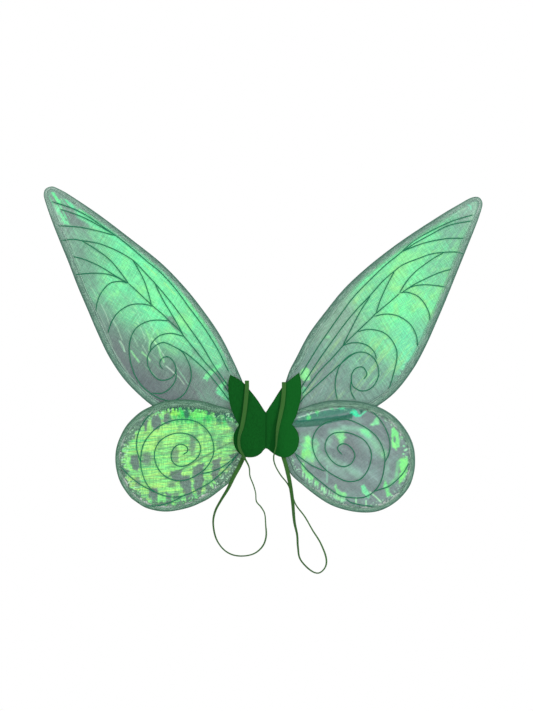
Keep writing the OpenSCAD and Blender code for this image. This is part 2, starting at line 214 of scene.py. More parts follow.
def fill_area(outline, spacing, loops=(), hole=None):
    """Points and triangles that fill an outline. loops are inner lines of points to keep."""
    outline = np.array(outline, float)
    x0, y0 = outline.min(0)
    x1, y1 = outline.max(0)
    row = spacing * 0.866
    ys = np.arange(y0 + row / 2, y1, row)
    px, py = [], []
    for k, y in enumerate(ys):
        xs = np.arange(x0 + (spacing / 2 if k % 2 else 0), x1, spacing)
        px.append(xs)
        py.append(np.full(len(xs), y))
    px, py = np.concatenate(px), np.concatenate(py)
    jitter = 0.12 * spacing
    px = px + jitter * noise(px / spacing * 3.1, py / spacing * 3.3, 3)
    py = py + jitter * noise(px / spacing * 2.9, py / spacing * 3.7, 5)
    keep = inside(px, py, outline) & (to_line(px, py, outline, True) > 0.6 * spacing)
    for loop in loops:
        keep &= to_line(px, py, loop, True) > 0.5 * spacing
    if hole is not None:
        keep &= ~inside(px, py, hole)
    grid = np.column_stack([px[keep], py[keep]])
    rings = [np.array(l, float) for l in loops]
    if hole is not None:
        rings.append(np.array(hole, float))
    points = [Vector(p) for p in outline.tolist()]
    for r in rings:
        points += [Vector(p) for p in r.tolist()]
    points += [Vector(p) for p in grid.tolist()]
    got = delaunay_2d_cdt(points, [], [list(range(len(outline)))], 1, 1e-7)
    verts = np.array([tuple(v) for v in got[0]])
    tris = np.array([f for f in got[2] if len(f) == 3])
    if hole is not None:
        c = verts[tris].mean(1)
        tris = tris[~inside(c[:, 0], c[:, 1], hole)]
    a, b, c = verts[tris[:, 0]], verts[tris[:, 1]], verts[tris[:, 2]]
    turn = (b[:, 0] - a[:, 0]) * (c[:, 1] - a[:, 1]) - (b[:, 1] - a[:, 1]) * (c[:, 0] - a[:, 0])
    tris[turn < 0] = tris[turn < 0][:, ::-1]
    return verts, tris[np.abs(turn) > 1e-13]


def piece(name, verts, faces, material, smooth_shade=True):
    me = bpy.data.meshes.new(name)
    me.from_pydata([tuple(v) for v in np.asarray(verts, float).tolist()], [],
                   [tuple(f) for f in (faces.tolist() if hasattr(faces, "tolist") else faces)])
    me.validate()
    me.update()
    if smooth_shade:
        me.polygons.foreach_set("use_smooth", [True] * len(me.polygons))
    ob = bpy.data.objects.new(name, me)
    scene.collection.objects.link(ob)
    for m in (material if isinstance(material, (list, tuple)) else [material]):
        me.materials.append(m)
    return ob


def paint_points(ob, name, rgb, alpha=None):
    data = np.ones((len(ob.data.vertices), 4), np.float32)
    data[:, :3] = rgb
    if alpha is not None:
        data[:, 3] = alpha
    layer = ob.data.color_attributes.new(name, "FLOAT_COLOR", "POINT")
    layer.data.foreach_set("color", data.ravel())


def value_points(ob, name, values):
    layer = ob.data.attributes.new(name, "FLOAT", "POINT")
    layer.data.foreach_set("value", np.asarray(values, np.float32))


# ---------------------------------------------------------------- materials
class Nodes:
    def __init__(self, name):
        self.mat = bpy.data.materials.new(name)
        self.mat.use_nodes = True
        self.tree = self.mat.node_tree
        self.bsdf = self.tree.nodes["Principled BSDF"]
        self.out = self.tree.nodes["Material Output"]

    def new(self, kind, **inputs):
        node = self.tree.nodes.new(kind)
        for k, v in inputs.items():
            self.put(node, k.replace("_", " "), v)
        return node

    def put(self, node, socket, v):
        s = node.inputs[socket] if isinstance(socket, (str, int)) else socket
        if isinstance(v, bpy.types.NodeSocket):
            self.tree.links.new(v, s)
        else:
            s.default_value = v

    def math(self, op, a, b=0.0, c=None, clamp=False):
        node = self.tree.nodes.new("ShaderNodeMath")
        node.operation = op
        node.use_clamp = clamp
        self.put(node, 0, a)
        self.put(node, 1, b)
        if c is not None:
            self.put(node, 2, c)
        return node.outputs[0]

    def span(self, v, a, b, lo, hi):
        node = self.tree.nodes.new("ShaderNodeMapRange")
        node.interpolation_type = "SMOOTHSTEP"
        for k, x in zip(("Value", "From Min", "From Max", "To Min", "To Max"), (v, a, b, lo, hi)):
            self.put(node, k, x)
        return node.outputs[0]

    def mix(self, f, a, b, kind="MIX"):
        node = self.tree.nodes.new("ShaderNodeMix")
        node.data_type = "RGBA"
        node.blend_type = kind
        self.put(node, 0, f)
        self.put(node, 6, a)
        self.put(node, 7, b)
        return node.outputs[2]

    def lined(self, deg, long, short, detail=3.0, rough=0.6):
        """Noise drawn out along a direction in the plane of the wings, sizes in metres."""
        a = self.place((1, 1, 1), (0, math.radians(deg), 0))
        m = self.tree.nodes.new("ShaderNodeMapping")
        m.inputs["Scale"].default_value = (1 / long, 1, 1 / short)
        self.tree.links.new(a, m.inputs["Vector"])
        return self.noise(1, detail, rough, m.outputs[0])

    def place(self, scale=(1, 1, 1), turn=(0, 0, 0)):
        node = self.tree.nodes.new("ShaderNodeMapping")
        node.inputs["Scale"].default_value = scale
        node.inputs["Rotation"].default_value = turn
        coord = self.tree.nodes.new("ShaderNodeTexCoord")
        self.tree.links.new(coord.outputs["Object"], node.inputs["Vector"])
        return node.outputs[0]

    def noise(self, scale, detail=3.0, rough=0.55, vector=None):
        node = self.new("ShaderNodeTexNoise", Scale=scale, Detail=detail, Roughness=rough)
        if vector is not None:
            self.put(node, "Vector", vector)
        return node.outputs["Fac"]

    def bump(self, height, strength, distance):
        node = self.new("ShaderNodeBump", Strength=strength, Distance=distance, Height=height)
        self.put(self.bsdf, "Normal", node.outputs[0])

    def set(self, **inputs):
        for k, v in inputs.items():
            self.put(self.bsdf, k.replace("_", " "), v)
        return self


def rgba(c):
    return (*c, 1.0)


def felt_material(name, base, dark, light):
    n = Nodes(name)
    soft = n.noise(38, 3, 0.6)
    fleck = n.noise(190, 4, 0.7)
    fibre = n.noise(1, 3, 0.6, n.place((900, 900, 2600), (0.3, 0.5, 0.4)))
    strand = n.lined(84, 0.016, 0.0022)
    coord = n.tree.nodes.new("ShaderNodeTexCoord")
    xyz = n.tree.nodes.new("ShaderNodeSeparateXYZ")
    n.tree.links.new(coord.outputs["Object"], xyz.inputs[0])
    c = n.mix(n.span(soft, 0.3, 0.7, 0.0, 1.0), rgba(dark), rgba(base))
    c = n.mix(n.span(fleck, 0.50, 0.72, 0.0, 0.8), c, rgba(light))
    c = n.mix(n.span(strand, 0.55, 0.75, 0.0, 0.6), c, rgba([x * 0.72 for x in dark]))
    # painted light: the half to the wearer's right is painted a little lighter, where more of the light falls
    c = n.mix(n.span(xyz.outputs["X"], -0.01, 0.05, 0.0, 0.32), c, rgba([x * 1.5 for x in base]))
    n.set(Base_Color=c, Roughness=n.span(fleck, 0.2, 0.8, 0.86, 0.98))
    n.set(Sheen_Weight=0.02, Sheen_Roughness=0.45, Sheen_Tint=rgba(light), Specular_IOR_Level=0.04)
    n.bump(n.math("ADD", fleck, n.math("MULTIPLY", fibre, 0.6)), 0.6, 0.0009)
    return n.mat


def net_material(name, thread, hole_alpha, thread_alpha, pitch=0.0019, rough=0.6):
    """Sheer net: fine threads both ways, with holes that let the light through."""
    n = Nodes(name)
    coord = n.tree.nodes.new("ShaderNodeTexCoord")
    xyz = n.tree.nodes.new("ShaderNodeSeparateXYZ")
    n.tree.links.new(coord.outputs["Object"], xyz.inputs[0])
    wob = n.noise(60, 2, 0.5)
    shift = n.math("MULTIPLY", n.math("SUBTRACT", wob, 0.5), 6.0)

    def threads(axis, k):
        s = n.math("SINE", n.math("ADD", n.math("MULTIPLY", xyz.outputs[axis], 2 * math.pi / pitch * k), shift))
        return n.span(s, -0.35, 0.85, 0.0, 1.0)

    lines = n.math("MAXIMUM", threads("X", 1.0), threads("Z", 1.07))
    patchy = n.noise(22, 3, 0.6)
    grain = n.noise(420, 2, 0.6)
    a = n.math("ADD", n.math("MULTIPLY", lines, thread_alpha - hole_alpha), hole_alpha)
    a = n.math("MULTIPLY", a, n.span(grain, 0.25, 0.75, 0.72, 1.22), clamp=True)
    c = n.mix(n.span(patchy, 0.3, 0.7, 0.0, 1.0), rgba([x * 0.82 for x in thread]), rgba([min(1, x * 1.22) for x in thread]))
    n.set(Base_Color=c, Alpha=a, Roughness=n.span(grain, 0.2, 0.8, rough - 0.1, rough + 0.1))
    n.set(Sheen_Weight=0.25, Sheen_Roughness=0.35, Specular_IOR_Level=0.35)
    n.bump(lines, 0.35, 0.0003)
    return n.mat


def hem_material(name, edge, middle, inner, closed, spark):
    """The hem: net folded over the wire. Dark and close at the rim, open and flecked inwards, with painted glints of
    highlight.
    """
    n = Nodes(name)
    rim = n.new("ShaderNodeAttribute")
    rim.attribute_name = "rim"
    f = rim.outputs["Fac"]
    fleck = n.noise(330, 2, 0.65)
    dots = n.new("ShaderNodeTexVoronoi", Scale=280.0)
    patchy = n.noise(60, 3, 0.6)
    run = n.new("ShaderNodeAttribute")
    run.attribute_name = "run"
    pale = n.new("ShaderNodeAttribute")
    pale.attribute_name = "pale"
    flow = n.new("ShaderNodeCombineXYZ")
    n.put(flow, 0, n.math("MULTIPLY", run.outputs["Fac"], 42.0))
    n.put(flow, 1, n.math("MULTIPLY", f, 8.5))
    strands = n.noise(1, 3, 0.6, flow.outputs[0])
    c = n.mix(n.span(f, 0.06, 0.34, 0.0, 1.0), rgba(edge), rgba(middle))
    c = n.mix(n.span(f, 0.38, 0.64, 0.0, 1.0), c, rgba(inner))
    c = n.mix(n.span(patchy, 0.35, 0.75, 0.0, 0.4), c, rgba(lin(70, 122, 100)))
    c = n.mix(n.math("MULTIPLY", n.span(fleck, 0.55 - 0.01 * spark, 0.67 - 0.05 * spark, 0.0, 0.75), n.span(f, 0.1, 0.4, 0.12, 1.0)), c, rgba(lin(172, 210, 188)))
    c = n.mix(n.math("MULTIPLY", n.span(fleck, 0.46 + 0.03 * spark, 0.36 + 0.05 * spark, 0.0, 0.85), n.span(f, 0.1, 0.4, 0.2, 1.0)), c, rgba(lin(50, 92, 76)))
    c = n.mix(n.math("MULTIPLY", n.span(dots.outputs["Distance"], 0.25, 0.05, 0.0, 0.6), n.span(f, 0.1, 0.4, 0.2, 1.0)), c, rgba(lin(52, 96, 80)))
    c = n.mix(n.math("MULTIPLY", n.span(strands, 0.53, 0.66, 0.0, 0.55), n.span(f, 0.16, 0.4, 0.0, 1.0)), c, rgba(lin(170, 206, 186)))
    c = n.mix(n.math("MULTIPLY", n.span(strands, 0.47, 0.36, 0.0, 0.5), n.span(f, 0.16, 0.4, 0.2, 1.0)), c, rgba(lin(50, 90, 74)))
    c = n.mix(n.math("MULTIPLY", pale.outputs["Fac"], n.span(f, 0.1, 0.4, 0.3, 1.0)), c, rgba(lin(176, 200, 188)))
    # painted glints: bright specks of highlight scattered over the hem's open part, as strong as spark
    glint = n.noise(560, 1, 0.5)
    lit = n.math("MULTIPLY", n.span(glint, 0.63, 0.68, 0.0, spark), n.span(f, 0.22, 0.45, 0.0, 1.0))
    c = n.mix(lit, c, rgba(lin(178, 236, 190)))
    a = n.math("MULTIPLY", n.span(f, 0.1, closed, 0.94, 0.86), n.span(f, closed, 0.95, 1.0, 0.30))
    a = n.math("MULTIPLY", a, n.span(fleck, 0.3, 0.7, 0.86, 1.12), clamp=True)
    n.set(Base_Color=c, Alpha=a, Roughness=n.span(fleck, 0.3, 0.7, 0.5, 0.7))
    n.set(Sheen_Weight=0.1, Sheen_Roughness=0.35, Specular_IOR_Level=0.2)
    n.bump(n.math("ADD", fleck, dots.outputs["Distance"]), 0.4, 0.0004)
    return n.mat


def film_material(name, deg, scales, depth):
    """Iridescent film: the tint is laid on in places, with fine crinkle and thread lines over it."""
    n = Nodes(name)
    tint = n.new("ShaderNodeAttribute")
    tint.attribute_name = "tint"
    grain = n.noise(520, 2, 0.6)
    fine = n.lined(deg, scales[0], scales[1])
    cross = n.lined(deg + 90, scales[0] * 0.7, scales[1] * 1.1)
    lines = n.math("ADD", n.math("MULTIPLY", fine, 0.62), n.math("MULTIPLY", cross, 0.38))
    gain = n.math("MULTIPLY", n.span(lines, 0.36, 0.64, 1 - depth, 1 + depth * 0.8), n.span(grain, 0.3, 0.7, 0.9, 1.1))
    vec = n.tree.nodes.new("ShaderNodeVectorMath")
    vec.operation = "SCALE"
    n.put(vec, 0, tint.outputs["Color"])
    n.put(vec, "Scale", gain)
    # the bright film shifts between lime and turquoise along its fine lines
    sep = n.tree.nodes.new("ShaderNodeSeparateColor")
    n.put(sep, 0, tint.outputs["Color"])
    vivid = n.span(n.math("SUBTRACT", sep.outputs["Green"], sep.outputs["Red"]), 0.15, 0.5, 0.0, 1.0)
    lime = n.math("MULTIPLY", vivid, n.span(cross, 0.52, 0.72, 0.0, 0.45))
    cool = n.math("MULTIPLY", vivid, n.span(fine, 0.54, 0.72, 0.0, 0.35))
    c = n.mix(lime, vec.outputs[0], rgba((0.52, 0.98, 0.22)))
    c = n.mix(cool, c, rgba((0.10, 0.82, 0.40)))
    n.set(Base_Color=c, Alpha=tint.outputs["Alpha"],
          Roughness=n.span(lines, 0.3, 0.7, 0.28, 0.5))
    n.set(Specular_IOR_Level=0.3, Coat_Weight=0.08, Coat_Roughness=0.2)
    for socket, v in (("Thin Film Thickness", 430.0), ("Thin Film IOR", 1.42)):
        if socket in n.bsdf.inputs:
            n.bsdf.inputs[socket].default_value = v
    n.bump(lines, 0.5, 0.0006)
    return n.mat


def elastic_material(name, base, dark):
    n = Nodes(name)
    along = n.new("ShaderNodeAttribute")
    along.attribute_name = "along"
    across = n.new("ShaderNodeAttribute")
    across.attribute_name = "across"
    v = n.math("MULTIPLY", along.outputs["Fac"], 2 * math.pi / 0.0021)
    u = n.math("MULTIPLY", across.outputs["Fac"], 2 * math.pi / 0.0016)
    braid = n.math("SINE", n.math("ADD", v, n.math("MULTIPLY", n.math("SINE", u), 1.4)))
    rib = n.math("SINE", n.math("MULTIPLY", across.outputs["Fac"], 2 * math.pi / 0.0016))
    lit = n.span(n.math("ADD", n.math("MULTIPLY", braid, 0.6), n.math("MULTIPLY", rib, 0.4)), -0.9, 0.9, 0, 1)
    fleck = n.noise(700, 2, 0.6)
    c = n.mix(lit, rgba(dark), rgba(base))
    c = n.mix(n.span(fleck, 0.5, 0.8, 0, 0.3), c, rgba([min(1, x * 1.5) for x in base]))
    n.set(Base_Color=c, Roughness=n.span(fleck, 0.2, 0.8, 0.62, 0.82))
    n.set(Sheen_Weight=0.04, Sheen_Roughness=0.4, Specular_IOR_Level=0.15)
    n.bump(n.math("ADD", n.math("MULTIPLY", braid, 0.5), n.math("MULTIPLY", rib, 0.5)), 0.7, 0.0004)
    return n.mat


def glitter_material(name, base, spark):
    n = Nodes(name)
    cells = n.new("ShaderNodeTexVoronoi", Scale=1600.0)
    grain = n.noise(900, 2, 0.6)
    c = n.mix(n.span(cells.outputs["Distance"], 0.1, 0.45, 0.55, 0.0), rgba(base), rgba(spark))
    n.set(Base_Color=c, Roughness=n.span(grain, 0.3, 0.7, 0.28, 0.55), Specular_IOR_Level=0.2)
    n.bump(cells.outputs["Distance"], 0.6, 0.0003)
    return n.mat


def thread_material(name, base, dark, pitch=0.0009):
    n = Nodes(name)
    wave = n.new("ShaderNodeTexWave", Scale=1.0, Distortion=2.0)
    n.put(wave, "Vector", n.place((1 / pitch, 1 / pitch, 1 / pitch), (0.3, 0.4, 0.6)))
    c = n.mix(wave.outputs["Fac"], rgba(dark), rgba(base))
    n.set(Base_Color=c, Roughness=n.span(n.noise(600, 2, 0.6), 0.2, 0.8, 0.55, 0.8))
    n.set(Sheen_Weight=0.2)
    n.bump(wave.outputs["Fac"], 0.5, 0.0003)
    return n.mat


def wire_material(name):
    n = Nodes(name)
    grain = n.noise(500, 3, 0.6)
    wear = n.noise(60, 3, 0.6)
    c = n.mix(n.span(wear, 0.35, 0.7, 0, 1), rgba(lin(58, 92, 78)), rgba(lin(80, 116, 100)))
    n.set(Base_Color=c, Roughness=n.span(grain, 0.3, 0.7, 0.35, 0.6))
    n.bump(grain, 0.25, 0.0003)
    return n.mat


def foam_material(name):
    n = Nodes(name)
    cells = n.new("ShaderNodeTexVoronoi", Scale=900.0)
    soft = n.noise(80, 3, 0.6)
    c = n.mix(n.span(soft, 0.3, 0.7, 0, 1), rgba(lin(34, 78, 40)), rgba(lin(48, 98, 54)))
    n.set(Base_Color=c, Roughness=n.span(cells.outputs["Distance"], 0.0, 0.6, 0.98, 0.85))
    n.bump(cells.outputs["Distance"], 0.7, 0.0006)
    return n.mat


FELT = felt_material("felt_green", lin(13, 80, 26), lin(9, 66, 20), lin(24, 98, 34))
NET_F = net_material("net_front", lin(62, 104, 86), 0.05, 0.22)
NET_B = net_material("net_back", lin(74, 112, 98), 0.22, 0.46)
HEM = {"left_upper": hem_material("hem_left_upper", lin(52, 92, 78), lin(84, 120, 106), lin(124, 168, 150), 0.46, 0.4),
       "right_upper": hem_material("hem_right_upper", lin(52, 92, 78), lin(86, 122, 108), lin(116, 160, 142), 0.42, 0.4),
       "left_lower": hem_material("hem_left_lower", lin(50, 94, 70), lin(64, 108, 80), lin(72, 116, 88), 0.66, 1.0),
       "right_lower": hem_material("hem_right_lower", lin(54, 94, 78), lin(76, 114, 98), lin(84, 122, 104), 0.62, 0.9)}
FILM = {"left_upper": film_material("film_left_upper", 58, (0.034, 0.0014), 0.28),
        "right_upper": film_material("film_right_upper", -58, (0.034, 0.0014), 0.28),
        "left_lower": film_material("film_left_lower", -6, (0.020, 0.0018), 0.42),
        "right_lower": film_material("film_right_lower", 38, (0.022, 0.0024), 0.16)}
ELASTIC = elastic_material("elastic_olive", lin(58, 107, 44), lin(28, 72, 22))
GLITTER = glitter_material("glitter_vein", lin(8, 104, 70), lin(38, 156, 116))
STITCH = {"left_upper": thread_material("thread_left_upper", lin(176, 206, 190), lin(128, 164, 148)),
          "right_upper": thread_material("thread_right_upper", lin(160, 194, 176), lin(118, 156, 138)),
          "left_lower": thread_material("thread_left_lower", lin(92, 134, 110), lin(70, 112, 90)),
          "right_lower": thread_material("thread_right_lower", lin(112, 148, 130), lin(84, 124, 104))}
TACK = thread_material("tack_thread", lin(36, 110, 44), lin(20, 74, 30))
WIRE = wire_material("wire_coated")
FOAM = foam_material("foam_green")

floor_mat = Nodes("floor_pale")
floor_mat.set(Base_Color=floor_mat.mix(floor_mat.span(floor_mat.noise(3, 2, 0.5), 0.3, 0.7, 0, 1),
                                       rgba(lin(236, 236, 234)), rgba(lin(242, 242, 241))), Roughness=0.9)
floor = piece("floor", [(-3, -3, -0.86), (3, -3, -0.86), (3, 1.2, -0.86), (-3, 1.2, -0.86)],
              [(0, 1, 2, 3)], floor_mat.mat)

# ---------------------------------------------------------------- shoulder straps (free cords)
S, TAIL = -0.8, 3.3
left_strap_route = [
    [[-36.5, S, 92], [1, 0, 0]], [[-37, -2.3, 76], [1, 0, 0]], [[-39, -2.8, 54], [1, 0, 0]],
    [[-42, -3, 30], [1, 0.2, 0]], [[-46.5, -3.4, 6], [1, 0.5, 0]],
    [[-51.8, -4, -14], [0.8, 1, 0]], [[-51, -4.2, -34], [0.8, 1, 0]],
    [[-41.5, -4.8, -53], [0.5, 1, 0]], [[-32.5, -6, -71], [0.26, 1, 0]],
    [[-30.5, -6.5, -89], [0.2, 1, 0]], [[-24, -7, -106], [0.18, 1, 0.05]],
    [[-19.5, -7, -122], [0.18, 1, 0]], [[-18, -7.5, -138], [0.2, 1, 0]],
    [[-9, -8, -149], [0.18, 1, 0.1]], [[-2, -8, -162], [0.2, 1, 0]],
    [[0, -8, -183], [0.24, 1, 0]], [[0.8, -8, -206], [0.36, 1, 0]],
    [[-6, -8, -225], [0.34, 1, -0.2]], [[-22, -8, -239], [0.2, 1, -0.32]],
    [[-44, -8, -244], [0, 1, -0.38]], [[-66, -8, -241], [-0.1, 1, -0.38]],
    [[-84, -8, -229], [-0.22, 1, -0.3]], [[-97, -8, -208], [-0.4, 1, -0.1]],
    [[-102, -8, -180], [-0.42, 1, 0]], [[-98, -7.5, -157], [-0.5, 1, 0.1]],
    [[-87, -7, -136], [-0.6, 1, 0.2]], [[-73, -5, -113], [-1, 0.8, 0]],
    [[-62, -3, -90], [-1, 0.35, 0]], [[-51.5, 0, -71], [-1, 0, 0]],
    [[-44.5, TAIL, -56], [-1, 0, 0]], [[-41.3, TAIL, -49.3], [-1, 0, 0]],
    [[-38, TAIL, -41], [-1, 0, 0]],
]
right_strap_route = [
    [[35.5, S, 89], [1, 0, 0]], [[35, -2.3, 73], [1, 0, 0]], [[33, -2.8, 52], [1, 0.05, 0]],
    [[28.5, -3.1, 29], [1, 0.3, 0]], [[24, -3.8, 8], [1, 0.9, 0]],
    [[21.5, -4.4, -12], [0.5, 1, 0]], [[20, -4.7, -31], [0.3, 1, 0]],
    [[15.5, -4.9, -52], [0.28, 1, 0]], [[18.5, -4.6, -68], [0.22, 1, 0.05]],
    [[29, -3, -87], [0.18, 1, 0.1]], [[43.5, -1.6, -106], [0.18, 1, 0.1]],
    [[53, -2, -131], [0.2, 1, 0.1]], [[60, -3, -147], [0.18, 1, 0.12]],
    [[76, -4, -168], [0.2, 1, 0.12]], [[91, -5, -194], [0.22, 1, 0.12]],
    [[106, -6, -218], [0.26, 1, 0.14]], [[117, -7, -246], [0.36, 1, 0.1]],
    [[116, -7.5, -265], [0.38, 1, -0.1]], [[103, -8, -277], [0.15, 1, -0.38]],
    [[86, -8.5, -271], [-0.15, 1, -0.4]], [[67, -9, -250], [-0.3, 1, -0.25]],
    [[62.5, -9, -226], [-0.42, 1, -0.1]], [[61, -9, -203], [-0.5, 1, 0]],
    [[55.5, -9, -176], [-0.75, 1, 0]], [[52, -9, -136], [-1, 0.8, 0]],
    [[47, -7, -102], [-1, 0.5, 0]], [[40.5, -2, -73], [-1, 0, 0]],
    [[35.5, TAIL, -56], [-1, 0, 0]], [[33.4, TAIL, -49.3], [-1, 0, 0]],
    [[31, TAIL, -41], [-1, 0, 0]],
]


def ribbon(name, line, wide, width, thick, material):
    """A flat elastic along a line, with rounded edges and lengthwise ribs."""
    m = len(line)
    across = []
    half = 11
    for k in range(half):
        x = -1 + 2 * k / (half - 1)
        edge = 1 - 0.45 * abs(x) ** 8
        across.append((x, edge + 0.10 * math.cos(x * math.pi * 4)))
    section = [(x * width / 2, y * thick / 2) for x, y in across]
    section += [(-x * width / 2, -y * thick / 2) for x, y in across]
    n = len(section)
    verts, s, length = [], [], 0.0
    for i in range(m):
        t = line[min(i + 1, m - 1)] - line[max(i - 1, 0)]
        t /= np.linalg.norm(t)
        u = wide[i] - (wide[i] @ t) * t
        u /= np.linalg.norm(u)
        v = np.cross(t, u)
        if i:
            length += float(np.linalg.norm(line[i] - line[i - 1]))
        for a, b in section:
            verts.append(line[i] + u * a + v * b)
            s.append((length, a))
    faces = []
    for i in range(m - 1):
        for k in range(n):
            a, b = i * n + k, i * n + (k + 1) % n
            faces.append((a, b, b + n, a + n))
    faces.append(tuple(range(n))[::-1])
    faces.append(tuple((m - 1) * n + k for k in range(n)))
    ob = piece(name, verts, faces, material)
    value_points(ob, "along", [q[0] for q in s])
    value_points(ob, "across", [q[1] for q in s])
    return ob


def strap(side, route, body):
    flat = np.array([[*p, *w] for p, w in route], float)
    fine = open_curve(flat, 9)
    line, wide = fine[:, :3] / 1000, fine[:, 3:]
    ob = ribbon(f"{side}_shoulder_elastic", line, wide, 0.008, 0.0012, ELASTIC)
    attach(ob, body)
    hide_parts(f"{side}_strap")
    x, _, top = (q / 1000 for q in route[0][0])
    r = (TAIL - S) / 2000
    turn = [np.array([x, S / 1000, top + 0.0001]), np.array([x, S / 1000, top + 0.0011])]
    for k in range(13):
        a = math.pi * k / 12
        turn.append(np.array([x, (S + TAIL) / 2000 - r * math.cos(a), top + 0.002 + r * math.sin(a)]))
    for z in np.linspace(top + 0.0005, 0.0705, 9):
        turn.append(np.array([x, TAIL / 1000, z]))
    top = ribbon(f"{side}_elastic_top_turn", np.array(turn), np.tile([1.0, 0, 0], (len(turn), 1)),
                 0.0083, 0.0012, ELASTIC)
    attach(top, body)
    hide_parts(f"{side}_strap_fold")
    return ob


left_elastic = strap("left", left_strap_route, "left_pad")
right_elastic = strap("right", right_strap_route, "right_pad")


def bar_tack(side, spots, body):
    """Zigzag stitches behind a strap's sewn ends."""
    verts, faces = [], []
    for cx, cz, deg in spots:
        c, s_ = math.cos(math.radians(deg)), math.sin(math.radians(deg))
        zig = []
        for k in range(17):
            a = -2.9 + 5.8 * k / 16
            b = 0.8 if k % 2 else -0.8
            zig.append((cx + a * c - b * s_, TAIL + 0.62 + (0.14 if 0 < k < 16 else 0), cz - a * s_ + b * c))
        line = resample(np.array(zig) / 1000, 0.0006)
        base = len(verts)
        for i, p in enumerate(line):
            t = line[min(i + 1, len(line) - 1)] - line[max(i - 1, 0)]
            t /= np.linalg.norm(t)
            u = np.cross(t, [0, 1, 0])
            u /= np.linalg.norm(u)
            for k in range(6):
                g = math.pi * k / 3
                verts.append(p + (u * math.cos(g) + np.array([0, 1, 0]) * math.sin(g)) * 0.00016)
        for i in range(len(line) - 1):
            for k in range(6):
                a, b = base + i * 6 + k, base + i * 6 + (k + 1) % 6
                faces.append((a, b, b + 6, a + 6))
        faces.append(tuple(base + k for k in range(6))[::-1])
        faces.append(tuple(base + (len(line) - 1) * 6 + k for k in range(6)))
    ob = piece(f"{side}_bar_tacks", verts, faces, TACK)
    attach(ob, body)
    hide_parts(f"{side}_strap_tacks")


bar_tack("left", [(-36.5, 76, 0), (-36.5, 81, 0), (-40, -46, 23)], "left_pad")
bar_tack("right", [(35.5, 76, 0), (35.5, 81, 0), (33, -46, 18)], "right_pad")

# ---------------------------------------------------------------- the felt pad
left_pad = [[-4, 40], [-9, 48], [-17, 60], [-24, 69], [-32, 79], [-38, 86], [-44, 93], [-56, 101],
            [-69, 108], [-72, 98], [-73, 88], [-72, 66], [-68, 44], [-60, 25], [-52, 10], [-58, 1],
            [-62, -9], [-63, -19], [-61, -30], [-56, -40], [-47, -49], [-35, -53], [-21, -52],
            [-10, -46], [-4, -39]]
right_pad = [[4, 40], [8, 47], [15, 57], [23, 70], [31, 82], [39, 91], [52, 102], [65, 112], [68, 100],
             [69, 88], [69, 66], [64, 42], [57, 22], [51, 11], [59, 2], [64, -9], [65, -21], [62, -34],
             [55, -45], [46, -51], [38, -53], [28, -52], [17, -47], [9, -41], [4, -37]]
left_back_pad = [[-4, 40], [-17, 60], [-32, 79], [-38, 86], [-44, 92], [-47, 92], [-47, 30],
                 [-48, 14], [-53, 4], [-56, -8], [-57, -19], [-55, -30], [-50, -40], [-43, -47],
                 [-33, -50], [-20, -49], [-10, -44], [-4, -38]]
right_back_pad = [[4, 40], [15, 57], [23, 70], [31, 82], [38, 90], [43, 91], [43, 30], [46, 14], [52, 4],
                  [57, -8], [58, -20], [56, -31], [50, -41], [43, -47], [36, -50], [27, -49], [17, -45],
                  [9, -40], [4, -36]]
CORNERS = {(-69, 108), (-52, 10), (65, 112), (51, 11), (-47, 92), (43, 92), (-47, 30), (43, 30)}


def pad_outline(p, top, bottom):
    """The half's outline in metres: smooth between its corners, straight along the crease."""
    runs, run = [], [[0, top]]
    for q in p:
        run.append(q)
        if tuple(q) in CORNERS:
            runs.append(run)
            run = [q]
    run.append([0, bottom])
    runs.append(run)
    out = []
    for run in runs:
        out += open_curve(run, 8)[:-1].tolist()
    out.append([0, bottom])
    edge = resample(np.array(out) / 1000, 0.0016)
    crease = resample(np.array([[0, bottom], [0, top]]) / 1000, 0.0016)
    return np.vstack([edge[:-1], crease[:-1]])


def felt_leaf(name, outline, y_out, y_in, material, seed, crease_depth=0.0011):
    """One half of a felt leaf: a thick sheet with soft edges, pressed in along the crease.
    y_out is its outer face and y_in the face towards the wings."""
    free = np.array([p for p in outline if abs(p[0]) > 1e-6])
    rim = to_line(outline[:, 0], outline[:, 1], free)
    verts, tris = fill_area(outline, 0.0021)
    x, z = verts[:, 0], verts[:, 1]
    d = to_line(x, z, free)
    thick = abs(y_in - y_out)
    s = 1 if y_in > y_out else -1
    r = 0.0011
    q = np.clip(1 - d / r, 0, 1)
    rounding = r * 0.9 * (1 - np.sqrt(np.clip(1 - q * q, 0, 1)))
    soft = 0.00055 * (1 - smooth(0.0, 0.009, d))
    dent = 0.00012 * fbm(x * 160, z * 160, seed, 3) + 0.00018 * fbm(x * 38, z * 38, seed + 5, 2) + 0.00030
    press = crease_depth * np.exp(-(x / 0.0021) ** 2) + 0.0004 * np.exp(-(x / 0.006) ** 2)
    outer = y_out + s * (rounding + soft + np.clip(dent, 0, 1) * smooth(0, 0.004, d) + press)
    inner = y_in - s * rounding * 0.9
    n = len(verts)
    pts = np.vstack([np.column_stack([x, outer, z]), np.column_stack([x, inner, z])])
    order = tris if s > 0 else tris[:, ::-1]
    # the outer face looks away from the wings
    faces = [tuple(f) for f in order.tolist()] + [tuple(int(k) + n for k in f[::-1]) for f in order.tolist()]
    edges = {}
    for f in order.tolist():
        for a, b in ((f[0], f[1]), (f[1], f[2]), (f[2], f[0])):
            edges[(a, b)] = edges.get((a, b), 0) + 1
    for (a, b) in list(edges):
        if (b, a) not in edges:
            faces.append((b, a, a + n, b + n))
    ob = piece(name, pts, faces, material)
    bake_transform(ob)
    return ob


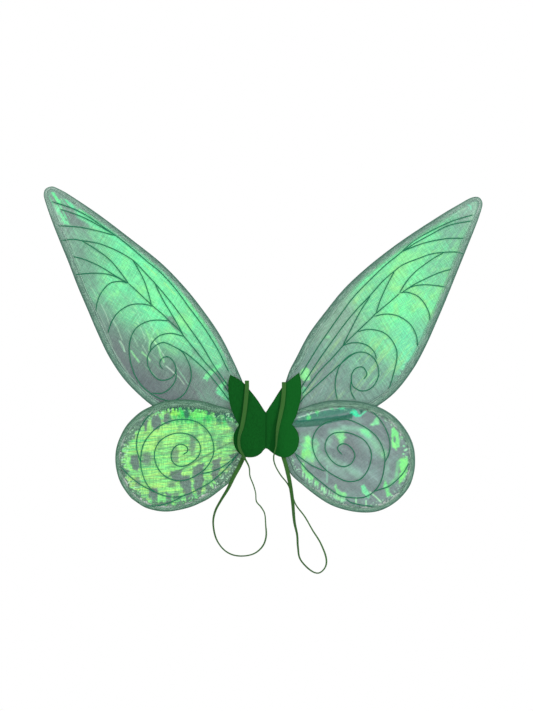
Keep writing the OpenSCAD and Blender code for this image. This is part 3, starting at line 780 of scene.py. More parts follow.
def half(side):
    sgn = -1 if side == "left" else 1
    front = felt_leaf(f"{side}_front_felt", pad_outline(left_pad if sgn < 0 else right_pad, 34.5, -35.5),
                      0.0, 0.0024, FELT, 11 if sgn < 0 else 12)
    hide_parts(f"front_felt_{side}", "front_felt_crease")
    back = felt_leaf(f"{side}_back_felt", pad_outline(left_back_pad if sgn < 0 else right_back_pad, 34.5, -35.5),
                     0.0138, 0.0114, FELT, 21 if sgn < 0 else 22, 0.0006)
    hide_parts(f"back_felt_{side}", "back_felt_crease")
    # foam between the felts, with bulging sides
    ring = resample(open_curve([[0, 33.5], [sgn * 5, 34.5], [sgn * 10, 42], [sgn * 19, 51], [sgn * 23.6, 50]], 6) / 1000, 0.002)
    down = resample(np.array([[sgn * 23.6, 50], [sgn * 23.6, -42]]) / 1000, 0.002)
    low = resample(open_curve([[sgn * 23.6, -42], [sgn * 14, -40], [sgn * 5, -34], [0, -33]], 6) / 1000, 0.002)
    mid = resample(np.array([[0, -33], [0, 33.5]]) / 1000, 0.002)
    loop = np.vstack([ring[:-1], down[:-1], low[:-1], mid[:-1]])
    centre = loop.mean(0)
    layers = 9
    verts, faces = [], []
    m = len(loop)
    for k in range(layers):
        f = k / (layers - 1)
        y = 0.0025 + 0.0088 * f
        pinch = 1 - 0.045 * (1 - (2 * f - 1) ** 2) - 0.02 * abs(2 * f - 1) ** 6
        for p in loop:
            q = centre + (p - centre) * pinch
            q[0] = 0.0 if abs(p[0]) < 1e-6 else q[0]
            verts.append((q[0], y, q[1]))
    for k in range(layers - 1):
        for i in range(m):
            a, b = k * m + i, k * m + (i + 1) % m
            faces.append((a, b, b + m, a + m) if sgn > 0 else (a + m, b + m, b, a))
    faces.append(tuple(range(m))[::-1] if sgn > 0 else tuple(range(m)))
    faces.append(tuple((layers - 1) * m + i for i in range(m)) if sgn > 0 else tuple((layers - 1) * m + i for i in range(m))[::-1])
    foam = piece(f"{side}_foam_core", verts, faces, FOAM)
    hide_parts(f"core_{side}", "core_crease")
    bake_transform(foam)


half("left")
half("right")

# ---------------------------------------------------------------- the wings
left_upper_edge = [[-44, 94], [-49, 106], [-65, 141], [-89, 187], [-122, 235], [-159, 281], [-204, 327],
                   [-263, 374], [-325, 421], [-380, 458], [-403, 471], [-417, 476], [-430, 471], [-434, 459],
                   [-430, 442], [-419, 410], [-405, 374], [-386, 328], [-368, 281], [-348, 234], [-328, 187],
                   [-305, 140], [-273, 94], [-229, 52], [-199, 35], [-165, 25], [-104, 18], [-52, 13],
                   [-34, 20], [-29, 42], [-33, 70]]
right_upper_edge = [[38, 94], [46, 117], [58, 140], [83, 187], [117, 233], [156, 280], [208, 327], [269, 373],
                    [341, 420], [380, 443], [398, 453], [411, 456], [420, 452], [424, 440], [418, 418],
                    [410, 396], [392, 351], [373, 304], [354, 257], [334, 210], [313, 163], [287, 116],
                    [249, 69], [199, 34], [166, 25], [104, 18], [55, 14], [36, 20], [29, 42], [31, 70]]
left_lower_edge = [[-50, 34], [-70, 42], [-99, 50], [-124, 57], [-149, 60], [-174, 60], [-199, 57], [-222, 48],
                   [-246, 35], [-270, 12], [-284, -12], [-292, -35], [-294, -58], [-291, -82], [-283, -105],
                   [-267, -129], [-253, -141], [-230, -154], [-194, -160], [-153, -153], [-123, -141],
                   [-104, -130], [-76, -108], [-59, -94], [-44, -57], [-33, -40], [-27, -12], [-32, 18]]
right_lower_edge = [[50, 35], [70, 43], [92, 51], [117, 57], [142, 59], [167, 58], [191, 55], [215, 48],
                    [236, 38], [257, 22], [277, -4], [289, -32], [292, -62], [289, -87], [280, -112],
                    [260, -136], [235, -153], [209, -161], [179, -161], [149, -155], [123, -145], [98, -129],
                    [73, -109], [48, -86], [37, -58], [30, -40], [27, -12], [32, 18]]

VEINS = {}
VEINS["left_upper"] = [
    [(51.6, 201.5), (71.5, 208), (88, 216.4), (109.6, 231.4), (117.9, 237.2), (129.5, 246.3),
     (146, 260.4), (161, 272.8), (175.9, 289.4), (189.2, 307.6), (204, 327.5), (217.4, 349),
     (229, 372.3)],
    [(59.9, 209), (84.7, 218), (112.9, 233.8)],
    [(58.2, 225.6), (79.8, 227.2), (99.7, 231.4), (114.6, 235.5)],
    [(61.5, 240.5), (73, 239.3), (81.4, 240.5), (99.7, 243.8), (116.2, 250.4), (129.5, 257.9),
     (136, 262.9), (146, 273.6), (156, 284.4), (169.3, 300.2), (179.3, 313.4), (189.2, 327.5),
     (195.8, 336.7), (204, 349), (214, 365.7), (229, 387.2)],
    [(81.4, 240.5), (96.3, 249.6), (109.6, 259.6), (119.6, 271.2), (128.7, 283.6)],
    [(72.3, 256.2), (84.7, 259.6), (99.7, 266.2), (114.6, 275.3), (128.7, 283.6)],
    [(75.6, 274.8), (91.4, 273.2), (106.3, 274), (116.2, 277), (125.4, 281.9)],
    [(128.7, 283.6), (139.5, 293.5), (151.9, 305.2), (162.7, 314.3), (169.3, 320.9),
     (179.3, 330), (184.2, 336.7), (195.8, 350.8), (205.8, 363.2), (217.4, 375.6), (229, 393)],
    [(133.6, 261.2), (142.8, 277.8), (147.7, 291), (151.4, 304.7)],
    [(155.2, 284.4), (162.7, 299.4), (172.6, 315.9), (179.3, 327.5), (183.9, 336.7)],
    [(127.8, 283.3), (119.6, 281.4), (109.6, 283.6), (101.3, 292.7), (97.2, 302.7), (96, 311)],
    [(152.4, 306.3), (142.8, 304), (129.5, 305.2), (117.9, 312.6), (111.3, 322.6),
     (107.9, 333.3)],
    [(169, 320.9), (156, 320), (144.4, 322.6), (134.5, 330), (129.5, 344), (130.3, 360.7),
     (136, 377.3), (146, 389.7), (161, 398.9), (174.3, 400.2), (184.2, 393.9), (190, 382.3),
     (191.2, 374), (189.2, 364), (182.6, 352.4), (172.6, 345.8), (162.7, 342.5), (154.4, 346.6),
     (148.6, 354), (147.4, 362.4), (150.2, 370.7), (156, 378), (162.7, 380.3), (171, 378),
     (175.9, 371.5), (174.3, 363.2), (169.3, 357.4), (164.3, 357), (160.2, 360.7),
     (160.2, 365.7), (162.7, 368.7)],
    [(183.4, 336.3), (171, 333.3), (159.4, 335.8), (151.9, 343.3), (149.7, 350.8)],
    [(151.9, 393), (162.7, 393), (171, 387.2), (175.9, 379), (175.9, 371.5)],
    [(177.6, 348.3), (189.2, 355.7), (205.8, 370.7), (220.7, 388.9), (229, 400.5)],
]
VEINS["left_lower"] = [
    [(182.9, 454.6), (187.4, 451.4), (187.4, 447.6), (182.9, 444.4), (177.8, 444.8),
     (173.3, 448.9), (171.2, 455.3), (172.7, 461.6), (177.8, 465.7), (184.2, 466),
     (191.8, 462.3), (198.2, 456.5), (200.8, 448.9), (198.2, 441.2), (191.8, 435.5),
     (181.6, 432.9), (171.4, 434.2), (161.2, 439.9), (155.5, 448.9), (154.8, 459),
     (158.7, 469.3), (166.3, 476.9), (176.5, 480.5), (186.7, 479.7), (196.9, 475), (205.9, 468),
     (212.2, 457.8), (213.9, 447.6), (211, 436), (204.6, 427.2), (195.7, 421.5), (184.2, 419.3),
     (171.4, 420.8), (158.7, 426.6), (149.7, 434.8), (143.4, 445), (140.8, 459), (142, 471.8),
     (147.2, 484.6), (154.8, 491.6), (166.3, 496), (177.8, 496.7), (189.3, 493.5), (202, 487),
     (214.8, 478.9), (227.6, 466.7), (238.4, 453.3)],
    [(153.6, 411.3), (144.6, 420.8), (138.3, 433.6), (136.7, 443.8), (137.6, 452.7),
     (140.6, 461.6)],
    [(121, 466.7), (129.3, 475.7), (140.8, 484.6), (154.8, 492.2)],
    [(200.8, 473.8), (212.2, 471.2), (222.4, 466.7), (232.7, 459), (238.4, 453.3)],
    [(145.9, 505.6), (157.4, 505.6), (170.2, 502.4), (181.6, 496.7)],
]
VEINS["right_upper"] = [
    [(473.4, 214.7), (452.3, 221), (431, 231), (414, 240.7), (400, 253.4), (386, 264.7),
     (369, 281), (353.6, 297), (342.3, 312), (331, 328), (318.3, 346.5), (307, 364.8),
     (300.7, 375.4)],
    [(472, 220.7), (449.4, 225.2), (431, 234.4), (416, 242.6), (410, 246.6), (404, 250.6)],
    [(464.2, 238.3), (451, 238.2), (436.8, 240), (422.7, 243.4), (411.4, 247.6), (403, 251.4)],
    [(463.5, 254), (456.5, 252), (443.8, 252.3), (431, 254), (417, 259), (403, 264.7),
     (394.5, 271), (383, 281), (370.5, 295), (356.4, 309.8), (343.7, 325.3), (332.4, 340.8),
     (320.4, 357.8), (308.5, 376), (301.4, 387.4)],
    [(443.8, 252.7), (432.5, 259), (417, 270.4), (407, 281), (399.4, 293)],
    [(452.3, 269), (439.6, 272.5), (425.5, 278.8), (412.8, 285.2), (401.5, 293)],
    [(446.6, 287), (436.8, 285.6), (425.5, 284.7), (414.2, 286), (405, 290)],
    [(399.4, 293.6), (388.8, 302.8), (376, 313.4), (370.5, 319), (357.8, 331), (343.7, 345),
     (332.4, 357.8), (318.3, 372.6), (302, 394.4)],
    [(394.5, 271.5), (387.4, 284.5), (380.4, 300), (376, 313.4)],
    [(370.5, 295.7), (360.6, 311), (350.8, 329.6), (343, 345)],
    [(400, 293), (407, 292.2), (417, 295.7), (424, 302.8), (429, 312.6), (430, 321)],
    [(374.7, 316.2), (386, 314), (398.7, 316.2), (410, 324), (416.3, 335.2), (417.7, 346.5)],
    [(357.8, 331.7), (369, 329.3), (381.8, 331.7), (390.2, 338), (396, 348), (397, 357.8),
     (394.5, 370.4), (391, 383), (388.8, 388.8)],
    [(343, 345.8), (350.8, 343), (360.6, 343), (369, 346.5), (374.7, 352.8), (376.4, 359.2)],
    [(363.4, 379.2), (366.3, 376), (366.7, 372.6), (363.4, 367.6), (359.2, 367), (354.3, 369.7),
     (351.5, 376), (352.2, 384.5), (356.4, 388.8), (362, 391), (369, 389.5), (374.7, 384.5),
     (378.5, 376), (378.2, 367.6), (374.7, 359.2), (367.7, 353.5), (360.6, 352), (353.6, 353.5),
     (346.5, 357.8), (339.5, 366.2), (336, 377.5), (335.2, 387.4), (337.4, 400)],
    [(351, 381), (350.8, 390), (353.6, 397), (355.7, 400)],
    [(358, 352), (350.8, 355.6), (339.5, 364.8), (325.4, 377.5), (311.3, 390.3), (305, 396),
     (300, 403)],
]
VEINS["right_lower"] = [
    [(342.4, 454.6), (339.3, 451.7), (337.5, 448.6), (338.8, 445.5), (342.4, 443.7),
     (346.5, 444.3), (351, 447.6), (354.2, 452.2), (354.7, 456.8), (352, 462.5), (348, 465.5),
     (343, 466.4), (336.7, 464.5), (330.6, 459.4), (326.5, 452.7), (325, 446.6), (327, 439),
     (332.6, 433.7), (339.8, 432.2), (348, 432.7), (358.3, 436.3), (365.4, 441.4),
     (369.5, 447.6), (371.4, 454.8), (370, 464), (366.5, 472.2), (360.3, 479), (352, 481.4),
     (344, 480.4), (335.7, 476.3), (327.5, 471.2), (320.3, 464), (315.2, 455.8), (312.6, 446.6),
     (313, 437.3), (317.2, 429), (323.4, 424), (331.6, 420.4), (341.8, 419), (351, 420.4),
     (360.3, 424.5), (369.5, 430.2), (376.7, 436.8), (381.8, 445.5), (384.4, 454.8),
     (384.7, 463), (383, 474.3), (379.8, 483.5), (374.7, 490.7), (367.5, 495.8), (359.3, 497.8),
     (350, 497.3), (340.8, 495.8), (330.6, 489.6), (320.3, 481.4), (310, 472.7), (300.8, 462.5),
     (295.7, 454.8)],
    [(370.6, 410.7), (376.7, 415.8), (383, 424), (387.5, 433.2), (389.8, 442.5), (389.5, 450.7),
     (387.5, 456.8), (385, 462)],
    [(408.5, 463), (404.4, 471.2), (397.2, 479.4), (389, 486), (380.8, 489), (373.6, 491.2)],
    [(294.2, 452.7), (300.8, 457.8), (308, 463), (315.2, 467), (325.4, 471.2)],
    [(346, 498.4), (350, 502), (357.2, 504), (365.4, 505.5), (374, 506)],
]

GREY, TEALGREY, MINT, BRIGHT = (122, 130, 131), (104, 134, 124), (114, 218, 156), (128, 246, 168)
LIME, TURQ, GREEN, DARK = (168, 248, 132), (84, 226, 176), (104, 226, 112), (70, 108, 92)


class Paint:
    """Colours laid on a film, in pattern sheet squares."""

    def __init__(self, x, z):
        self.u, self.v = x / 0.00195 + 265.7, 430 - z / 0.00195
        self.rgb = np.tile(np.array(GREY, float), (len(x), 1))

    def mix(self, mask, rgb):
        m = np.clip(mask, 0, 1)[:, None]
        self.rgb = self.rgb * (1 - m) + np.array(rgb, float) * m

    def shine(self, spots, low, mid, high, rough=0.0):
        """A smooth field of shine through given (u, v, amount) spots, from low to mid to high."""
        w = np.zeros(len(self.u))
        s = np.zeros(len(self.u))
        for a, b, k in spots:
            q = 1 / (((self.u - a) ** 2 + (self.v - b) ** 2) + 20) ** 1.7
            w += q
            s += q * k
        s = s / w + rough
        self.level = s
        low, mid, high = (np.array(c, float) for c in (low, mid, high))
        t = np.clip(s * 2, 0, 1)[:, None]
        h = np.clip(s * 2 - 1, 0, 1.4)[:, None]
        self.rgb = low + (mid - low) * t + (high - mid) * h

    def blob(self, cu, cv, ru, rv, deg, rgb, k=1.0, soft=0.5, ragged=0.0, seed=1, comb=0.0):
        c, s = math.cos(math.radians(deg)), math.sin(math.radians(deg))
        a, b = self.u - cu, self.v - cv
        r = np.hypot((a * c + b * s) / ru, (-a * s + b * c) / rv)
        if ragged:
            r = r + ragged * fbm(self.u / 3.0, self.v / 3.0, seed, 3)
        if comb:
            r = r + comb * streaks(self.u, self.v, 5, 14, 0.9, 75)
        self.mix(k * (1 - smooth(1 - soft, 1 + soft, r)), rgb)

    def area(self, pts, rgb, k=1.0, soft=2.0, ragged=0.0, seed=1):
        d = to_line(self.u, self.v, pts, True)
        d = np.where(inside(self.u, self.v, pts), -d, d)
        if ragged:
            d = d + ragged * fbm(self.u / 3.0, self.v / 3.0, seed, 3)
        self.mix(k * (1 - smooth(-soft, soft, d)), rgb)

    def line(self, pts, width, rgb, k=1.0, soft=0.6):
        d = to_line(self.u, self.v, pts)
        self.mix(k * (1 - smooth(width / 2 - soft, width / 2 + soft, d)), rgb)

    def border(self, wide, teeth, rgb, k=1.0, seed=1, pitch=3.2, soft=0.7, where=None):
        """A dull border along the wing's edge, whose inner side is toothed."""
        t = np.maximum(0, noise(self.run / pitch, self.run * 0, seed)) * teeth
        t = t + 0.5 * teeth * noise(self.run / (pitch * 3.3), self.run * 0, seed + 3)
        m = k * (1 - smooth(-soft, soft, self.rim - wide - t))
        self.mix(m if where is None else m * where, rgb)

    def line_at_rim(self, deep, wide, rgb, k, seed, where=1.0):
        """A thin line that keeps its distance from the wing's edge and comes and goes."""
        on = smooth(-0.25, 0.35, fbm(self.run / 30, self.run * 0, seed, 2))
        self.mix(k * on * np.exp(-((self.rim - deep) / wide) ** 2) * where, rgb)

    def specks(self, mask, share, rgb, k=0.9, size=1.25, seed=1):
        """Loose flecks of film."""
        q = noise(self.u / size, self.v / size, seed)
        self.mix(mask * k * smooth(1 - 2 * share, 1.12 - 2 * share, q), rgb)


def streaks(u, v, deg, long, short, seed):
    """Noise drawn out along a direction."""
    c, s = math.cos(math.radians(deg)), math.sin(math.radians(deg))
    return fbm((u * c + v * s) / long, (-u * s + v * c) / short, seed, 3)


def paint_left_upper(p):
    u, v = p.u, p.v
    along = streaks(u, v, 58, 30, 1.0, 31)
    cross = streaks(u, v, -32, 22, 1.0, 32)
    # brightest along the leading edge, paler to the trailing edge, dull at the root
    p.shine([(60, 230, 0.3), (80, 240, 0.5), (110, 230, 0.9), (150, 260, 1.1), (190, 310, 1.0), (210, 350, 0.8),
             (80, 280, 0.4), (120, 280, 0.9), (160, 310, 1.1), (100, 320, 0.4), (130, 310, 0.8), (170, 340, 0.9),
             (140, 340, 0.7), (110, 360, 0.1), (150, 390, 0.0), (190, 390, 0.1), (220, 390, 0.2)],
            (116, 127, 126), (120, 180, 147), (124, 238, 166), 0.19 * along + 0.08 * cross)
    lime = smooth(0.1, 0.6, fbm(u / 14, v / 14, 41, 2)) * smooth(0.6, 1.0, p.level)
    p.mix(0.5 * lime, (160, 254, 150))
    p.mix(0.35 * smooth(0.5, 1.0, p.level) * smooth(-0.2, 0.6, fbm(u / 20, v / 20, 44, 2)), (100, 236, 174))
    # the shine falls off below a slanting line through the spiral
    fall = smooth(-20, 12, (v - 330) * 0.88 - (u - 124) * 0.47) * (1 - smooth(186, 206, u))
    p.mix(0.75 * fall, (108, 126, 120))
    # the dull root
    p.area([(128, 362), (165, 385), (200, 405), (150, 410), (118, 382)], (102, 112, 115), 0.7, 9)
    p.area([(112, 336), (122, 345), (132, 372), (124, 378), (112, 352)], (112, 122, 122), 0.6, 5)
    # tip
    p.mix(0.4 * (1 - smooth(205, 262, v + 0.25 * (u - 60))), (168, 190, 178))
    p.area([(48, 196), (60, 194), (72, 206), (86, 213), (88, 217), (70, 209), (58, 206)], (120, 142, 134), 0.6, 2)
    p.area([(60, 210), (72, 212), (84, 218), (88, 226), (78, 226), (66, 224)], (120, 136, 131), 0.7, 3)
    p.area([(66, 238), (74, 240), (86, 250), (82, 262), (74, 258)], (120, 140, 132), 0.35, 5)
    p.mix(0.6 * smooth(0.15, 0.5, streaks(u, v, 62, 14, 1.4, 45)) * (1 - smooth(215, 232, v)), (116, 226, 160))
    p.area([(51, 192), (54, 192), (61, 203), (57, 203)], (112, 250, 160), 1.0, 0.7, 0.9, 3)
    p.area([(64, 199), (67, 200), (76, 208), (71, 208)], (110, 242, 172), 0.95, 0.8, 1.0, 4)
    p.area([(72, 207), (77, 210), (82, 215), (78, 214)], (100, 226, 170), 0.9, 0.8, 1.0, 14)
    p.area([(54, 203), (57, 206), (62, 213), (68, 224), (64, 224), (58, 213)], (130, 240, 172), 0.9, 0.8, 2.6, 5)
    p.line([(57, 201), (63, 211), (66, 218)], 1.2, (124, 236, 168), 0.85, 0.6)
    p.line([(61, 199), (66, 206)], 1.2, (120, 230, 166), 0.8, 0.6)
    p.line([(53, 200), (58, 212), (64, 226), (71, 244), (80, 268)], 1.4, (176, 224, 190), 0.35, 0.8)
    p.line([(80, 211), (92, 218), (103, 225), (112, 232)], 4.6, (112, 238, 162), 0.9, 1.6)
    p.line([(92, 222), (104, 230), (118, 240), (134, 254)], 4.0, (118, 230, 160), 0.6, 2.0)
    p.area([(90, 226), (104, 232), (118, 242), (112, 246), (98, 240), (88, 234)], (120, 206, 154), 0.6, 2.5)
    # the bright inner side of the leading hem
    p.line([(112, 231), (130, 241), (146, 253), (161, 267), (178, 286)], 5.0, (112, 254, 158), 0.9, 2.5)
    p.line([(150, 256), (165, 270), (180, 288), (196, 310)], 1.2, (196, 250, 130), 0.5, 0.8)
    p.line([(178, 286), (192, 305), (206, 326)], 2.5, (130, 244, 150), 0.55, 2)
    # blobs by the pad
    p.area([(204, 378), (208, 371), (215, 366), (221, 362), (222, 366), (214, 373), (207, 381)], (122, 240, 160), 0.9, 1.0, 1.6, 6)
    p.area([(217, 389), (221, 383), (226, 379), (227, 383), (221, 391)], (122, 240, 160), 0.95, 1.0, 1.4, 7)
    p.area([(215, 392), (222, 388), (232, 396), (230, 403)], (112, 238, 168), 0.85, 1.2, 1.6, 8)
    p.area([(197, 355), (204, 352), (209, 362), (202, 366)], (118, 214, 152), 0.5, 2.5, 1.6, 9)
    # dull patches under the long veins, a painted highlight along a crease in the film, and pulled threads round the
    # spiral
    p.area([(166, 315), (174, 318), (181, 332), (174, 328), (167, 321)], (112, 138, 128), 0.8, 1.5, 0.8, 15)
    p.blob(196, 352, 7, 3, 50, (112, 150, 134), 0.5, 0.5, 0.4, 16)
    # painted highlight: a pale line where a crease in the film catches the light
    p.line([(166, 366), (172, 371), (176, 375)], 1.1, (206, 232, 214), 0.8, 0.5)
    p.line([(176, 366), (188, 384)], 0.9, (150, 224, 176), 0.6, 0.5)
    p.line([(119, 341), (124, 351)], 0.9, (150, 220, 176), 0.7, 0.5)
    for q in ([(152, 338), (158, 346), (161, 356), (164, 362)], [(157, 330), (160, 342)], [(142, 352), (150, 360)],
              [(131, 351), (139, 362)], [(146, 330), (150, 340), (149, 350)]):
        p.line(q, 1.6, (150, 248, 160), 0.7, 0.9)
    pulled = smooth(0.3, 0.7, streaks(u, v, 42, 30, 1.1, 47))
    near = 1 - smooth(26, 52, np.hypot(u - 160, v - 348))
    p.mix(0.42 * pulled * near, (132, 236, 162))
    dull = smooth(0.35, 0.8, streaks(u, v, 38, 24, 1.3, 48))
    p.mix(0.5 * dull * near, (112, 140, 130))
    for a, b, c, d, k in ((101, 304, 110, 326, 0.5), (112, 318, 122, 340, 0.5), (137, 321, 146, 342, 0.45),
                          (151, 338, 164, 356, 0.7), (148, 318, 154, 334, 0.4), (120, 341, 125, 352, 0.8),
                          (173, 345, 188, 360, 0.45), (164, 330, 178, 342, 0.4), (128, 330, 138, 346, 0.4),
                          (173, 372, 184, 384, 0.6), (130, 300, 140, 318, 0.3), (90, 284, 98, 304, 0.3),
                          (142, 345, 150, 362, 0.5), (95, 305, 112, 345, 0.3), (156, 302, 166, 318, 0.35)):
        p.line([(a, b), ((a + c) / 2 + 0.6, (b + d) / 2 - 0.6), (c, d)], 0.9, (196, 240, 200), k, 0.5)
    threads = smooth(0.45, 0.9, streaks(u, v, 64, 46, 0.9, 49))
    p.mix(0.5 * threads * smooth(288, 320, v) * (1 - smooth(360, 385, v)), (190, 232, 200))
    lead = smooth(-4, 6, (u - 52) * 0.738 - (v - 200) * 0.675)
    p.border(5.6, 0.6, (120, 148, 136), 0.7, 131, 5.0, 0.8)
    p.line([(80, 215), (95, 224), (107, 230.5), (120, 240)], 7.0, (118, 240, 172), 0.85, 2.4)
    p.mix(0.95 * lead * smooth(4.2, 5.4, p.rim) * (1 - smooth(8.8, 10.8, p.rim)) * smooth(88, 108, u) * (1 - smooth(284, 316, v)), (120, 255, 178))
    p.mix(0.5 * lead * np.exp(-((p.rim - 12.6) / 0.6) ** 2) * smooth(0.1, 0.5, noise(p.run / 9, p.run * 0, 133)) * smooth(120, 150, u) * (1 - smooth(285, 315, v)), (196, 246, 130))
    p.specks(lead * smooth(4.5, 6, p.rim) * (1 - smooth(8, 11, p.rim)) * (1 - smooth(96, 118, u)), 0.2, (178, 214, 196), 0.6, 1.2, 134)
    p.line_at_rim(7.8, 0.45, (204, 228, 212), 0.55, 132, 1 - lead)


def paint_right_upper(p):
    u, v = p.u, p.v
    along = streaks(u, v, -58, 30, 1.0, 51)
    cross = streaks(u, v, 32, 22, 1.0, 52)
    # brightest along the middle and the trailing edge, dull at the leading edge and the root
    p.shine([(450, 230, 0.6), (430, 240, 0.9), (440, 270, 0.8), (410, 270, 1.0), (430, 310, 1.0), (400, 310, 1.1),
             (410, 350, 0.9), (380, 340, 0.9), (370, 300, 0.9), (340, 320, 0.5), (370, 370, 0.5), (330, 350, 0.4),
             (320, 370, 0.2), (350, 390, 0.3), (310, 390, 0.2), (370, 400, 0.3)],
            (122, 134, 134), (122, 172, 149), (122, 227, 161), 0.18 * along + 0.09 * cross)
    lime = smooth(-0.1, 0.5, fbm(u / 16, v / 16, 61, 2)) * smooth(0.5, 0.95, p.level)
    p.mix(0.5 * lime * (1 - smooth(300, 350, v)), (154, 236, 146))
    p.mix(0.4 * smooth(0.2, 0.8, fbm(u / 9, v / 9, 62, 2)) * smooth(0.5, 1.0, p.level), (164, 228, 138))
    p.mix(0.5 * smooth(310, 340, v) * smooth(385, 405, u) * smooth(0.6, 1.0, p.level), (110, 240, 188))
    p.mix(0.45 * smooth(0.1, 0.6, streaks(u, v, -52, 40, 3.0, 63)) * smooth(330, 345, v) * (1 - smooth(395, 405, v)), (168, 222, 140))
    p.blob(468, 212, 9, 14, 25, (150, 172, 160), 0.6, 0.7)
    p.line([(467, 204), (471, 206), (471, 209)], 1.2, (120, 240, 190), 0.8, 0.6)
    p.line([(464, 214), (470, 207)], 0.9, (150, 222, 190), 0.6, 0.6)
    p.area([(299, 377), (301, 370), (306, 366), (310, 371), (310, 380), (304, 382)], (150, 246, 156), 0.95, 1.0, 1.0, 10)
    p.area([(300, 392), (303, 386), (307, 388), (303, 396)], (118, 230, 160), 0.8, 1.0, 1.0, 11)
    p.blob(327, 337, 3, 2, 0, (120, 222, 150), 0.7, 0.5, 0.4, 17)
    p.area([(391, 379), (395, 377), (398, 378), (398, 383), (394, 384)], (124, 244, 170), 0.95, 0.8, 1.4, 12)
    for k, (a, b) in enumerate([(401, 372), (402.5, 369.5), (400, 374.5), (398.5, 377), (404, 366), (405.5, 363), (407, 360),
                                (396, 386), (394, 388.5), (391, 391), (388, 393)]):
        p.blob(a, b, 1.1, 0.8, 0, (150, 236, 190), 0.85, 0.5, 0.5, 120 + k)
    p.blob(356, 300, 4.5, 2.0, -52, (170, 240, 140), 0.5, 0.7, 0.4, 18)
    p.blob(362, 290, 5, 1.6, -52, (184, 236, 150), 0.4, 0.7, 0.4, 19)
    pulled = smooth(0.3, 0.75, streaks(u, v, -48, 34, 1.1, 67))
    p.mix(0.5 * pulled * (1 - smooth(26, 56, np.hypot(u - 362, v - 362))), (150, 236, 160))
    threads = smooth(0.45, 0.9, streaks(u, v, -62, 46, 0.9, 68))
    p.mix(0.4 * threads * (1 - smooth(345, 375, u)), (186, 224, 200))
    p.mix(0.35 * (1 - smooth(345, 372, u)) * (1 - smooth(330, 352, v)), (162, 180, 158))
    p.mix(0.3 * smooth(405, 420, u) * smooth(312, 325, v), (122, 150, 140))
    p.border(5.2, 0.6, (122, 150, 140), 0.7, 135, 5.0, 0.8)
    lead = smooth(-4, 6, (470 - u) * 0.738 - (v - 196) * 0.675)
    p.mix(0.8 * lead * smooth(4.8, 5.8, p.rim) * (1 - smooth(9, 12, p.rim)) * smooth(345, 365, u) * (1 - smooth(440, 458, u)), (120, 240, 168))
    p.line_at_rim(7.0, 0.45, (204, 226, 212), 0.45, 136)
    low = smooth(350, 372, v) * smooth(340, 380, u)
    p.border(9.5, 4.5, (110, 140, 130), 0.8, 137, 2.6, 0.8, low)
    p.specks(low * (1 - smooth(6, 14, p.rim)), 0.16, (150, 242, 190), 0.8, 1.2, 138)


